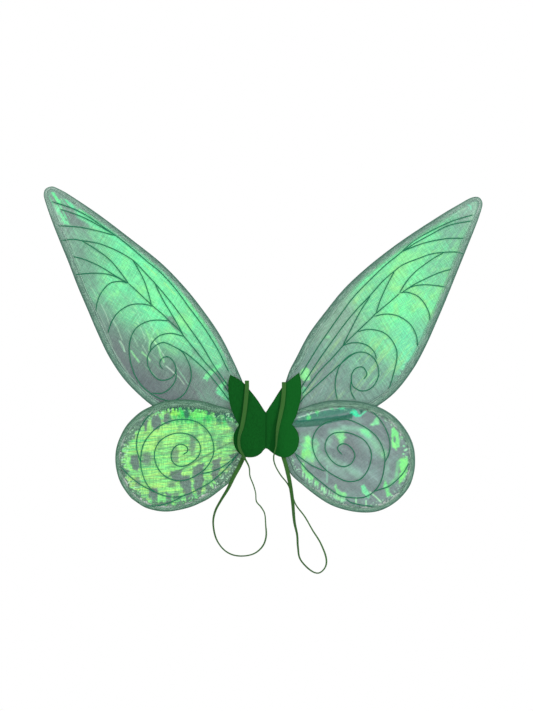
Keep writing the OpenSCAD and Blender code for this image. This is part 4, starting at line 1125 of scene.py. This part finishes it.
def paint_left_lower(p):
    u, v = p.u, p.v
    rows = streaks(u, v, -5, 22, 0.95, 71)
    rows2 = streaks(u, v, -12, 26, 1.3, 73)
    cols = streaks(u, v, 92, 11, 2.6, 72)
    p.shine([(150, 420, 0.5), (175, 415, 0.8), (200, 420, 0.85), (225, 432, 0.7), (140, 432, 0.85),
             (165, 435, 1.0), (190, 440, 0.95), (215, 445, 0.8), (232, 450, 0.65), (128, 448, 0.75),
             (150, 445, 0.95), (175, 458, 0.95), (200, 452, 0.8), (220, 468, 0.6), (127, 460, 0.7),
             (148, 475, 0.85), (165, 478, 0.9), (188, 482, 0.55), (209, 480, 0.6), (150, 492, 0.65),
             (177, 490, 0.75), (195, 492, 0.5), (135, 480, 0.7), (160, 500, 0.65), (185, 502, 0.5)],
            (106, 136, 119), (124, 209, 129), (152, 250, 135), 0.50 * rows + 0.26 * rows2 + 0.22 * cols)
    yellow = streaks(u, v, -6, 30, 1.5, 74)
    p.mix(0.8 * smooth(-0.08, 0.36, yellow + 0.35 * fbm(u / 12, v / 8, 70, 2)), (184, 244, 126))
    p.mix(0.55 * smooth(0.15, 0.5, streaks(u, v, -4, 26, 1.0, 77)), (84, 226, 136))
    p.mix(0.45 * smooth(0.15, 0.5, streaks(u, v, -9, 22, 1.0, 79)), (100, 150, 112))
    # dull gaps in the film: clear-cut ones first, then softer ones
    gaps = [[(180, 478), (190, 475), (191, 488), (193, 501), (187, 503), (184, 492), (181, 484)],
            [(193, 467), (204, 463), (204, 478), (202, 492), (199, 498), (195, 490), (193, 478)],
            [(213, 460), (221, 458), (220, 470), (216, 482), (212, 480), (212, 468)],
            [(170, 471), (181, 470), (182, 480), (176, 482), (171, 478)],
            [(131, 456), (139, 455), (140, 466), (138, 472), (133, 470), (131, 463)],
            [(152, 417), (157, 413), (162, 420), (160, 428), (154, 430), (151, 424)],
            [(163, 414), (170, 413), (173, 421), (167, 424), (163, 420)],
            [(144, 421), (149, 420), (149, 430), (145, 432)],
            [(148, 488), (157, 488), (158, 497), (154, 502), (149, 498)],
            [(166, 493), (172, 494), (172, 502), (167, 502)],
            [(206, 484), (210, 483), (209, 491), (206, 492)]]
    for k, pts in enumerate(gaps):
        p.area(pts, (106, 127, 120), 0.94, 0.9, 1.9, 80 + k)
    for k, (a, b, c, d, g, m) in enumerate([(147, 459, 5.5, 7, 0, 0.85), (175, 456, 3.6, 8, 0, 0.7), (192.5, 444, 3.6, 10, 0, 0.75),
                                            (220, 444, 4, 4, 0, 0.5), (172, 484, 4, 4, 0, 0.6), (176, 496, 3, 5, 0, 0.7),
                                            (228, 466, 3, 4, 0, 0.7), (138, 482, 3, 5, -8, 0.7), (199, 458, 3, 5, 20, 0.4),
                                            (152, 412, 7, 2.5, -25, 0.8)]):
        p.blob(a, b, c, d, g, (106, 128, 119), m, 0.5, 0.30, 180 + k, 0.45)
    p.mix(0.45 * smooth(0.0, 0.5, streaks(u, v, -3, 12, 0.9, 64)) * (1 - smooth(128, 133, u)) * smooth(428, 434, v) * (1 - smooth(446, 454, v)), (104, 134, 116))
    p.line([(137.5, 446), (138.6, 456), (140.5, 464)], 1.6, (160, 242, 126), 0.8, 0.7)
    p.area([(125, 458), (129, 457), (130, 469), (127, 470)], (152, 246, 132), 0.7, 0.9, 1.2, 195)
    p.area([(156, 497), (161, 494), (166, 498), (165, 503), (157, 502)], (140, 244, 140), 0.85, 0.8, 2.2, 196)
    for k, (a, b, c, d) in enumerate([(196, 432, 3, 9), (213, 435, 3, 6), (186, 416, 2, 6), (205, 432, 2, 7),
                                      (220, 440, 2.5, 6), (180, 428, 2, 4), (160, 445, 3, 7), (129, 440, 3, 6)]):
        p.blob(a, b, c, d, 0, (92, 156, 112), 0.5, 0.5, 0.3, 200 + k, 0.9)
    lines = smooth(0.25, 0.6, streaks(u, v, -6, 24, 0.85, 76))
    p.mix(0.5 * lines, (110, 150, 110))
    right = smooth(200, 225, u)
    p.mix(0.6 * right * smooth(0.1, 0.5, streaks(u, v, -18, 22, 1.0, 78)), (128, 142, 108))
    # dark threads that cross the spiral
    p.line([(166, 478), (184, 468), (200, 459), (218, 449), (232, 442)], 1.5, (84, 128, 92), 0.75, 0.8)
    p.line([(190, 470), (206, 462), (222, 452)], 1.0, (96, 140, 100), 0.6, 0.7)
    p.line([(178, 462), (196, 453), (214, 445)], 1.0, (104, 146, 104), 0.5, 0.7)
    # saturated greens along the top
    top = (1 - smooth(418, 430, v)) * smooth(166, 176, u)
    p.mix(0.75 * top * smooth(-0.5, 0.2, streaks(u, v, 80, 8, 2.2, 66)), (56, 212, 98))
    p.mix(0.6 * top * smooth(0.1, 0.5, streaks(u, v, 84, 8, 1.8, 65)), (66, 122, 98))
    p.blob(175, 413, 4.5, 3.5, 0, (166, 240, 100), 0.7, 0.4, 0.5, 90)
    p.blob(197, 413, 8, 4.5, 0, (122, 240, 118), 0.8, 0.5, 0.5, 91)
    p.blob(209, 418, 4, 3, 0, (60, 206, 104), 0.6, 0.5, 0.5, 89)
    p.blob(163, 409, 2.5, 2, 0, (40, 90, 76), 0.8, 0.5, 0.4, 92)
    p.blob(187, 413, 3, 5, 0, (58, 110, 92), 0.8, 0.5, 0.5, 94)
    p.blob(220, 420, 3, 4, 0, (70, 116, 100), 0.7, 0.5, 0.5, 93)
    p.area([(161, 408), (164, 409), (164, 420), (161, 417)], (146, 236, 138), 0.9, 0.7, 0.8, 95)
    p.area([(147, 430), (149, 418), (151, 417), (151, 428), (154, 434)], (156, 238, 128), 0.9, 0.8, 1.0, 96)
    p.area([(224, 417), (232, 420), (240, 428), (236, 433), (228, 425)], (96, 128, 116), 0.8, 2.0, 1.5, 197)
    dark_teeth = np.maximum(0, noise(p.run / 1.7, p.run * 0, 140))
    topside = (1 - smooth(424, 432, v)) * smooth(160, 168, u)
    p.mix(topside * (1 - smooth(-0.5, 0.5, p.rim - 8.4 - 5.5 * dark_teeth)), (72, 112, 96))
    rest = 1 - topside
    corner = (1 - smooth(436, 448, v)) * (1 - smooth(140, 160, u))
    p.border(8.0, 5.5, (96, 128, 110), 0.92, 141, 2.1, 0.6, rest)
    p.border(11.5, 4.0, (100, 130, 114), 0.9, 144, 2.1, 0.8, corner)
    foot = smooth(486, 500, v)
    p.specks((1 - smooth(10, 15, p.rim)) * (1 - foot), 0.28, (184, 238, 192), 0.85, 1.15, 142)
    p.specks((1 - smooth(10, 15, p.rim)) * foot, 0.34, (120, 234, 132), 0.8, 1.25, 145)
    p.specks((1 - smooth(9, 15, p.rim)), 0.22, (76, 114, 96), 0.75, 1.3, 143)


def paint_right_lower(p):
    u, v = p.u, p.v
    base = np.array((121, 138, 137), float)
    cloud = fbm(u / 17, v / 12, 97, 3)
    diag = streaks(u, v, 38, 30, 5.0, 98)
    p.rgb = np.tile(base, (len(u), 1))
    p.mix(0.6 * smooth(-0.05, 0.6, 0.6 * diag + 0.8 * cloud), (142, 178, 166))
    p.mix(0.35 * smooth(0.1, 0.5, streaks(u, v, 40, 22, 1.3, 96)), (152, 172, 165))
    p.mix(0.3 * smooth(0.1, 0.6, streaks(u, v, -50, 16, 1.2, 95)), (110, 146, 132))
    p.blob(307, 432, 8, 4, 0, (116, 132, 130), 0.7, 0.8)
    p.blob(337, 470, 13, 5, 35, (150, 188, 172), 0.55, 0.9, 0.3, 151)
    p.blob(372, 474, 9, 6, 50, (150, 184, 176), 0.55, 0.9, 0.3, 152)
    p.blob(366, 442, 9, 7, 50, (148, 186, 172), 0.6, 0.9, 0.3, 149)
    p.blob(350, 446, 12, 6, 30, (120, 128, 129), 0.6, 0.9, 0.3, 153)
    p.blob(340, 484, 14, 4, 10, (120, 134, 132), 0.5, 0.9, 0.3, 148)
    # patches of bright film
    p.blob(310, 450, 8, 13, -6, (146, 198, 166), 0.65, 0.8, 0.5, 154)
    p.area([(304, 438), (307, 435), (310, 438), (311, 446), (315, 457), (313, 463), (306, 460), (301, 452), (302, 444)],
           (132, 226, 146), 0.42, 3.2, 4.5, 101)
    p.area([(306, 436), (308, 435), (310, 438), (310.5, 444), (312, 450), (306, 452), (304.5, 446)], (134, 244, 150), 0.85, 1.2, 2.6, 97)
    p.area([(303, 448), (308, 450), (314, 456), (314, 463), (307, 459), (301, 453)], (140, 240, 134), 0.8, 1.4, 3.8, 98)
    p.mix(0.55 * smooth(0.1, 0.5, streaks(u, v, 60, 7, 1.6, 99)) * (1 - smooth(10, 20, np.hypot(u - 308, v - 448))), (120, 192, 146))
    p.mix(0.4 * smooth(0.1, 0.5, fbm(u / 4, v / 4, 94, 2)) * (1 - smooth(10, 18, np.hypot(u - 308, v - 448))), (116, 238, 168))
    p.blob(315, 447, 3, 7, 10, (140, 214, 160), 0.6, 0.8, 0.5, 96)
    p.blob(308, 441, 2.5, 4, 0, (150, 246, 150), 0.8, 0.6, 0.5, 99)
    p.blob(304, 456, 2.5, 4, 0, (140, 240, 130), 0.7, 0.6, 0.5, 100)
    p.area([(332, 432), (338, 430), (345, 430), (346, 437), (341, 441), (338, 438)], (140, 238, 154), 0.85, 2.0, 2.6, 102)
    p.blob(341, 441, 2.5, 4, 0, (130, 240, 150), 0.7, 0.6, 0.3, 155)
    p.blob(338, 456, 9, 7, 0, (108, 118, 121), 0.55, 0.8, 0.3, 146)
    p.blob(352, 462, 5, 9, 20, (112, 122, 125), 0.45, 0.8, 0.3, 147)
    p.blob(320, 432, 5, 8, 20, (112, 124, 125), 0.5, 0.8, 0.3, 150)
    p.blob(329, 460, 3.5, 7, -10, (148, 200, 170), 0.55, 0.8, 0.4, 190)
    p.blob(353, 470, 9, 3.5, 32, (148, 192, 178), 0.5, 0.9, 0.4, 191)
    p.line([(331, 432), (345, 428), (358, 429), (368, 434), (376, 446)], 5.0, (142, 206, 172), 0.7, 3.2)
    p.blob(366, 433, 6, 3.6, 42, (138, 240, 182), 0.85, 0.7, 0.3, 192)
    p.line([(303, 462), (315, 458), (330, 459), (345, 466), (358, 476)], 6.0, (148, 204, 172), 0.5, 3.4)
    p.area([(360, 429), (367, 430), (372, 436), (368, 437)], (132, 238, 160), 0.8, 1.2, 1.0, 156)
    p.blob(329, 441, 3, 6, 25, (150, 210, 176), 0.5, 0.7, 0.3, 157)
    p.area([(350, 413), (353, 408), (357, 412), (361, 416), (355, 417)], (84, 236, 180), 1.0, 0.7, 1.2, 103)
    p.line([(361, 415), (366, 411)], 1.6, (110, 236, 180), 0.9, 0.8)
    p.blob(317, 411, 2.0, 3.0, 0, (96, 222, 150), 0.95, 0.4, 0.6, 104)
    p.blob(340, 408, 3.4, 1.4, 0, (96, 228, 170), 0.95, 0.4, 0.6, 158)
    p.blob(332, 408.6, 1.8, 1.2, 0, (96, 224, 160), 0.9, 0.4, 0.6, 159)
    p.blob(309, 417, 2.4, 2.2, 0, (92, 200, 130), 0.9, 0.4, 0.6, 160)
    p.line([(309, 418), (309.5, 424)], 1.4, (84, 186, 134), 0.7, 0.7)
    p.blob(325, 412, 1.6, 1.0, 0, (110, 210, 160), 0.7, 0.5, 0.5, 95)
    p.area([(370, 425), (374, 421), (377, 417), (379, 419), (379, 424), (373, 426)], (140, 242, 168), 0.9, 1.3, 1.2, 105)
    p.area([(359, 410), (364, 410), (361, 414)], (50, 98, 80), 0.8, 0.8)
    p.blob(378, 447, 10, 5, 62, (142, 200, 164), 0.6, 0.8, 0.3, 93)
    p.blob(384, 454, 3, 4.5, 20, (130, 220, 150), 0.65, 0.7, 0.4, 92)
    p.blob(387, 470, 3, 8, 10, (142, 196, 168), 0.5, 0.8, 0.4, 91)
    p.area([(391, 429), (394, 427), (398, 433), (399, 446), (396, 450), (392, 446), (391, 438)], (130, 242, 144), 0.95, 0.9, 1.6, 106)
    p.blob(394.5, 439.5, 1.3, 3.2, 0, (112, 142, 132), 0.9, 0.4, 0.2, 161)
    p.blob(403, 437, 3, 1.3, 0, (140, 236, 160), 0.8, 0.5, 0.6, 162)
    for k, (a, b) in enumerate([(404, 446), (405, 450), (403, 454), (407, 457)]):
        p.blob(a, b, 1.3, 1.0, 0, (140, 240, 170), 0.9, 0.5, 0.5, 163 + k)
    p.area([(398, 486), (400, 470), (399, 459), (406, 456), (409, 462), (406, 474), (402, 482)], (132, 244, 136), 0.95, 1.0, 2.2, 107)
    p.line([(398, 462), (396, 478), (389, 486)], 3.0, (128, 232, 150), 0.6, 1.6)
    p.area([(383, 478), (385, 480), (391, 495), (387, 497), (384, 488)], (126, 240, 146), 0.9, 1.0, 1.6, 108)
    p.area([(360, 486), (364, 484), (370, 494), (369, 498), (363, 494)], (124, 238, 168), 0.9, 1.0, 1.4, 109)
    p.line([(370, 492), (376, 497), (381, 502)], 1.6, (176, 238, 186), 0.85, 0.8)
    p.line([(327, 466), (327, 482)], 1.6, (142, 208, 172), 0.7, 0.8)
    p.area([(301, 463), (304, 463), (305, 471), (302, 471)], (136, 238, 146), 0.9, 0.8, 1.4, 110)
    p.area([(304, 471), (309, 472), (314, 477), (313, 481), (306, 477)], (132, 238, 146), 0.9, 0.8, 2.2, 112)
    p.area([(315, 480), (319, 482), (319, 487), (315, 485)], (136, 240, 150), 0.9, 0.8, 1.4, 113)
    p.area([(321, 485), (325, 488), (325, 492), (321, 489)], (140, 240, 150), 0.8, 0.8, 1.4, 114)
    p.area([(334, 487), (336, 485), (339, 490), (347, 494), (345, 498), (336, 495)], (134, 238, 152), 0.85, 0.9, 1.8, 168)
    p.area([(330, 494), (338, 497), (346, 499), (345, 501), (336, 500)], (140, 232, 160), 0.8, 0.9, 1.6, 111)
    for k, (a, b) in enumerate([(303, 473), (306, 478), (309, 480), (312, 482), (315, 484), (318, 486), (322, 487),
                                (324.5, 488.5), (327, 490), (329.5, 491.5), (332, 493), (334.5, 494.5), (337, 496),
                                (339.5, 497), (342, 498), (344.5, 498.5), (356, 499), (366, 502)]):
        h = float(hash2(np.array(k), np.array(3), 5))
        p.line([(a, b - 1.2), (a + 1.6 * h - 1.4, b + 1.4 + 3.2 * h)], 1.0 + 0.6 * h, (164, 240, 180), 0.55 + 0.4 * h, 0.5)
    # the upper wing's hem shows through here, with a painted shadow line along its lower edge
    p.area([(292, 420.5), (308, 419.5), (323, 418), (340, 416), (353, 413.5), (352, 418.5), (336, 421.5), (320, 425), (308, 426.5), (292, 427)], (46, 112, 92), 0.94, 1.0, 0.5, 173)
    # painted shadow: a dark line along the lower edge of the upper wing's hem
    p.line([(293, 427), (308, 426), (320, 425)], 1.2, (36, 88, 72), 0.6, 0.7)
    p.area([(296, 418), (316, 412), (346, 407), (362, 407), (350, 412), (330, 416), (304, 420)], (74, 138, 116), 0.75, 2.0)
    p.border(7.0, 0.8, (108, 138, 126), 0.75, 175, 4.0, 0.8)
    p.line_at_rim(8.4, 0.5, (206, 228, 216), 0.75, 176, (1 - smooth(430, 440, v)) * smooth(350, 360, u) * (1 - smooth(375, 392, u)))
    p.line([(297, 418), (311, 413.5), (325, 409.6), (335, 408.2), (346, 407.6)], 0.8, (214, 234, 224), 0.9, 0.5)
    p.blob(317, 411.5, 2.0, 2.4, 0, (120, 232, 140), 0.9, 0.4, 0.6, 178)
    p.line([(317, 412), (317.5, 416)], 1.2, (96, 196, 140), 0.7, 0.7)
    p.blob(308.5, 417.5, 2.2, 1.8, 0, (96, 210, 130), 0.9, 0.4, 0.6, 179)
    p.blob(342, 407.8, 3.2, 1.3, 0, (92, 232, 172), 0.95, 0.4, 0.6, 188)
    p.blob(332, 408.4, 1.6, 1.1, 0, (110, 226, 160), 0.85, 0.4, 0.6, 189)
    p.specks((1 - smooth(8, 13, p.rim)) * smooth(3.5, 6, p.rim), 0.24, (170, 236, 186), 0.85, 1.2, 177)


WINGS = {
    "left_upper": dict(edge=left_upper_edge, y=9.5, tip=(-420, 466), bend=50, axis=58, paint=paint_left_upper),
    "right_upper": dict(edge=right_upper_edge, y=9.5, tip=(410, 446), bend=46, axis=58, paint=paint_right_upper),
    "left_lower": dict(edge=left_lower_edge, y=5.9, tip=None, bend=74, axis=-30, paint=paint_left_lower),
    "right_lower": dict(edge=right_lower_edge, y=5.9, tip=None, bend=76, axis=-30, paint=paint_right_lower),
}
MESH_A = 0.14                      # how much of the front net covers the film
LIGHT = 1.25                       # how bright a white wing is under these lamps
NET_LIN = np.array(lin(62, 104, 86))
BACK_LIN = np.array(lin(74, 112, 98))


def inset(p, d):
    """Points of a closed outline moved inward by d, which may differ from point to point."""
    t = np.roll(p, -1, axis=0) - np.roll(p, 1, axis=0)
    t /= np.linalg.norm(t, axis=1)[:, None]
    area = float((p[:, 0] * np.roll(p[:, 1], -1) - np.roll(p[:, 0], -1) * p[:, 1]).sum())
    s = 1 if area > 0 else -1
    return p + s * np.column_stack([-t[:, 1], t[:, 0]]) * np.asarray(d).reshape(-1, 1)


def make_wing(name, w):
    side = name.split("_")[0]
    sgn = -1 if side == "left" else 1
    yc = w["y"] / 1000
    bend = w["bend"] / 1000
    edge = resample(closed_curve(w["edge"], 10) / 1000, 0.003, True)
    depth = np.where(np.abs(edge[:, 0]) < bend - 0.002, 0.2, 1.0)
    depth = np.convolve(np.concatenate([depth[-6:], depth, depth[:6]]), np.ones(13) / 13, "valid")
    if w["tip"]:
        tip = np.array(w["tip"]) / 1000
        depth = depth * np.minimum(1, 0.35 + np.linalg.norm(edge - tip, axis=1) / 0.130)
    upper = "upper" in name
    if not upper:
        depth = depth * (1 - (0.30 if side == "left" else 0.22) * smooth(-0.03, 0.02, -edge[:, 1]))
    made = []

    def finish(ob, slot, *nodes):
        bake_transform(ob)
        if nodes:
            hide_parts(*nodes)
        made.append(ob)

    def gather(x, z):
        """Small folds that run out from the pad."""
        ang = np.arctan2(z - w["axis"] / 1000, sgn * x + 0.03)
        near = 1 - smooth(bend, bend + 0.11, np.abs(x))
        return near * 0.00035 * np.sin(ang * 46 + 1.3)

    # ---- front and back net
    rim = inset(edge, 0.0021 * np.ones(len(edge)))
    wavy = {}
    for which, off in (("front", -0.00150), ("back", 0.00125)):
        verts, tris = fill_area(rim, 0.0052)
        x, z = verts[:, 0], verts[:, 1]
        d = to_line(x, z, rim, True)
        s = 1 if which == "front" else 2
        drape = (0.00016 * fbm(x * 55, z * 55, 7 * s, 2) + gather(x, z)) * smooth(0, 0.012, d)
        y = yc + off + sway(x, z) + (np.minimum(drape, 0.00045) if which == "front" else np.maximum(drape, -0.00045) * 0.5)
        order = tris if which == "front" else tris[:, ::-1]
        ob = piece(f"{name}_{which}_net", np.column_stack([x, y, z]), order, NET_F if which == "front" else NET_B)
        wavy[which] = ob
        finish(ob, "mesh", *([f"{name}_front_mesh", f"{name}_root"] if which == "front" else [f"{name}_back_mesh"]))

    # ---- hem: the net folded round the wire, its inner edge turned in
    if name == "left_upper":
        ahead = 0.72 * (edge[:, 0] + 0.4245) + 0.695 * (edge[:, 1] - 0.4563)
        depth = depth * (1 - 0.2 * smooth(0.0, 0.02, ahead))
    hem_w = 0.0165 * depth
    profile, rim_value = [], []
    wide = 0.6 * noise(np.arange(len(edge)) * 0.16, np.zeros(len(edge)), 5)
    for f in (1.0, 0.86, 0.72, 0.5, 0.3):
        rim_value.append(f)
        profile.append((np.maximum(hem_w * f, 0.0030) + 0.0006 * wide * f * depth, -0.00138 - (0.00018 if 0.8 < f < 0.9 else 0)))
    for k in range(9):
        a = math.pi * (k / 8)
        rim_value.append(0.12 * abs(k - 4) / 4)
        profile.append((np.full(len(edge), 0.0022 - 0.0014 * math.sin(a)), -0.0014 * math.cos(a)))
    for f in (0.3, 0.5, 0.68):
        rim_value.append(f)
        profile.append((np.maximum(hem_w * f, 0.0030), 0.00112))
    rows = []
    for d, dy in profile:
        q = inset(edge, d)
        rows.append(np.column_stack([q[:, 0], yc + dy + sway(q[:, 0], q[:, 1]), q[:, 1]]))
    m = len(edge)
    verts = np.vstack(rows)
    faces = []
    for r in range(len(rows) - 1):
        for i in range(m):
            a, b = r * m + i, r * m + (i + 1) % m
            faces.append((a, a + m, b + m, b))
    hem = piece(f"{name}_hem_fold", verts, faces, HEM[name])
    value_points(hem, "rim", np.repeat(rim_value, m))
    arc = np.concatenate([[0], np.cumsum(np.linalg.norm(np.diff(edge, axis=0), axis=1))])
    value_points(hem, "run", np.tile(arc, len(rows)))
    pale = 0.6 * np.exp(-np.linalg.norm(edge - tip, axis=1) / 0.075) if w["tip"] else np.zeros(m)
    if name == "right_upper":
        pale = pale * 0.6
    value_points(hem, "pale", np.tile(pale, len(rows)))
    finish(hem, "hem", f"{name}_hem")

    # ---- running stitch that holds the hem
    if True:
        line = inset(edge, np.maximum(hem_w * 0.86, 0.0026) + 0.0006 * wide * 0.86 * depth)
        line = resample(line, 0.0011, True)
        verts, faces = [], []
        k = 0
        while k + 3 < len(line):
            a, b = line[k], line[k + 3]
            if abs(a[0]) > bend + 0.010 or (upper and abs(a[0]) > bend + 0.004):
                t = (b - a) / max(1e-9, np.linalg.norm(b - a))
                nrm = np.array([-t[1], t[0]])
                base = len(verts)
                for g in range(5):
                    f = g / 4
                    p = a + (b - a) * f
                    lift = 0.00034 * math.sin(math.pi * (0.12 + 0.76 * f))
                    yy = yc - 0.00150 + float(sway(p[0], p[1]))
                    r = 0.00034 * (0.6 if g in (0, 4) else 1)
                    for h in range(6):
                        aa = math.pi * h / 3
                        verts.append((p[0] + nrm[0] * r * math.cos(aa), yy - lift - 0.00012 + r * math.sin(aa) * 0.7,
                                      p[1] + nrm[1] * r * math.cos(aa)))
                for g in range(4):
                    for h in range(6):
                        i0, i1 = base + g * 6 + h, base + g * 6 + (h + 1) % 6
                        faces.append((i0, i0 + 6, i1 + 6, i1))
                faces.append(tuple(base + h for h in range(6)))
                faces.append(tuple(base + 24 + h for h in range(6))[::-1])
            k += 4
        stitch = piece(f"{name}_hem_stitches", verts, faces, STITCH[name])
        finish(stitch, "thread")

    # ---- wire
    line = inset(edge, np.full(len(edge), 0.0021))
    far = np.abs(line[:, 0]) > bend - 0.002
    start = next(i for i in range(len(line)) if far[i] and not far[i - 1])
    line = np.roll(line, -start, axis=0)
    line = line[:int(np.roll(far, -start).sum())]
    verts, faces = [], []
    for i, p in enumerate(line):
        t = line[min(i + 1, len(line) - 1)] - line[max(i - 1, 0)]
        t /= np.linalg.norm(t)
        for k in range(10):
            a = 2 * math.pi * k / 10
            verts.append((p[0] - t[1] * 0.001 * math.cos(a), yc + float(sway(p[0], p[1])) + 0.001 * math.sin(a),
                          p[1] + t[0] * 0.001 * math.cos(a)))
    for i in range(len(line) - 1):
        for k in range(10):
            a, b = i * 10 + k, i * 10 + (k + 1) % 10
            faces.append((a, a + 10, b + 10, b))
    faces.append(tuple(range(10)))
    faces.append(tuple((len(line) - 1) * 10 + k for k in range(10))[::-1])
    wire = piece(f"{name}_frame_wire", verts, faces, WIRE)
    finish(wire, "wire", f"{name}_wire")

    # ---- film
    inner = inset(edge, 0.0095 * depth)
    inner = resample(inner, 0.0014, True)
    verts, tris = fill_area(inner, 0.00135)
    x, z = verts[:, 0], verts[:, 1]
    d = to_line(x, z, inner, True)
    c = verts[tris].mean(1)
    dc = d[tris].mean(1)
    ragged = 0.4 if upper else 1.0
    teeth = ragged * (0.0030 + 0.0022 * noise(c[:, 0] / 0.0028, c[:, 1] / 0.0028, 13)
                      + 0.0030 * noise(c[:, 0] / 0.009, c[:, 1] / 0.009, 14))
    keep = (dc > teeth) | (np.abs(c[:, 0]) < bend + 0.006)
    tris = tris[keep]
    used = np.unique(tris)
    back = np.full(len(verts), -1)
    back[used] = np.arange(len(used))
    verts, tris, d = verts[used], back[tris], d[used]
    x, z = verts[:, 0], verts[:, 1]
    crinkle = 0.00022 * fbm(x * 130, z * 130, 19, 3) + 0.00018 * noise(x * 400, z * 40, 23)
    y = yc + sway(x, z) + crinkle
    film = piece(f"{name}_film_insert", np.column_stack([x, y, z]), tris, FILM[name])
    p = Paint(x, z)
    p.rim, p.run = along_line(x, z, edge)
    w["paint"](p)
    target = lin_array(p.rgb) / LIGHT
    behind = 0.34 * BACK_LIN + 0.66 / LIGHT
    cover = np.full(len(x), 0.94)
    seen = (target - MESH_A * NET_LIN) / (1 - MESH_A) ** 2
    tint = (seen - (1 - cover[:, None]) * behind) / cover[:, None]
    paint_points(film, "tint", np.clip(tint, 0.01, 0.98), cover)
    finish(film, "film", f"{name}_film")

    # ---- raised glitter veins
    verts, faces = [], []
    for line in VEINS.get(name, []):
        pts = np.array([at(a, b) for a, b in line])
        fine = resample(open_curve(pts, 6), 0.0016)
        base = len(verts)
        n = len(fine)
        for i, q in enumerate(fine):
            t = fine[min(i + 1, n - 1)] - fine[max(i - 1, 0)]
            t /= np.linalg.norm(t)
            nrm = np.array([-t[1], t[0]])
            ends = min(1.0, 0.35 + 0.25 * min(i, n - 1 - i))
            hw = 0.00098 * ends * (1 + 0.12 * float(noise(i * 0.7, 0.3, 29)))
            yy = yc - 0.00162 + float(sway(q[0], q[1])) + min(float(gather(q[0], q[1])), 0.0)
            for f, h in ((-1, 0.00012), (-0.62, -0.00016), (0, -0.00030), (0.62, -0.00016), (1, 0.00012), (0, 0.00020)):
                verts.append((q[0] + nrm[0] * hw * f, yy + h, q[1] + nrm[1] * hw * f))
        for i in range(n - 1):
            for k in range(6):
                a, b = base + i * 6 + k, base + i * 6 + (k + 1) % 6
                faces.append((a, b, b + 6, a + 6))
        faces.append(tuple(base + k for k in range(6))[::-1])
        faces.append(tuple(base + (n - 1) * 6 + k for k in range(6)))
    if verts:
        veins = piece(f"{name}_glitter_veins", verts, faces, GLITTER)
        finish(veins, "mesh")


for wing_name, wing in WINGS.items():
    make_wing(wing_name, wing)

# ---------------------------------------------------------------- CAD nodes that stay: wire ends in the pad
for node_name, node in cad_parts.items():
    if node_name.endswith("_legs"):
        node.data.materials.clear()
        node.data.materials.append(WIRE)
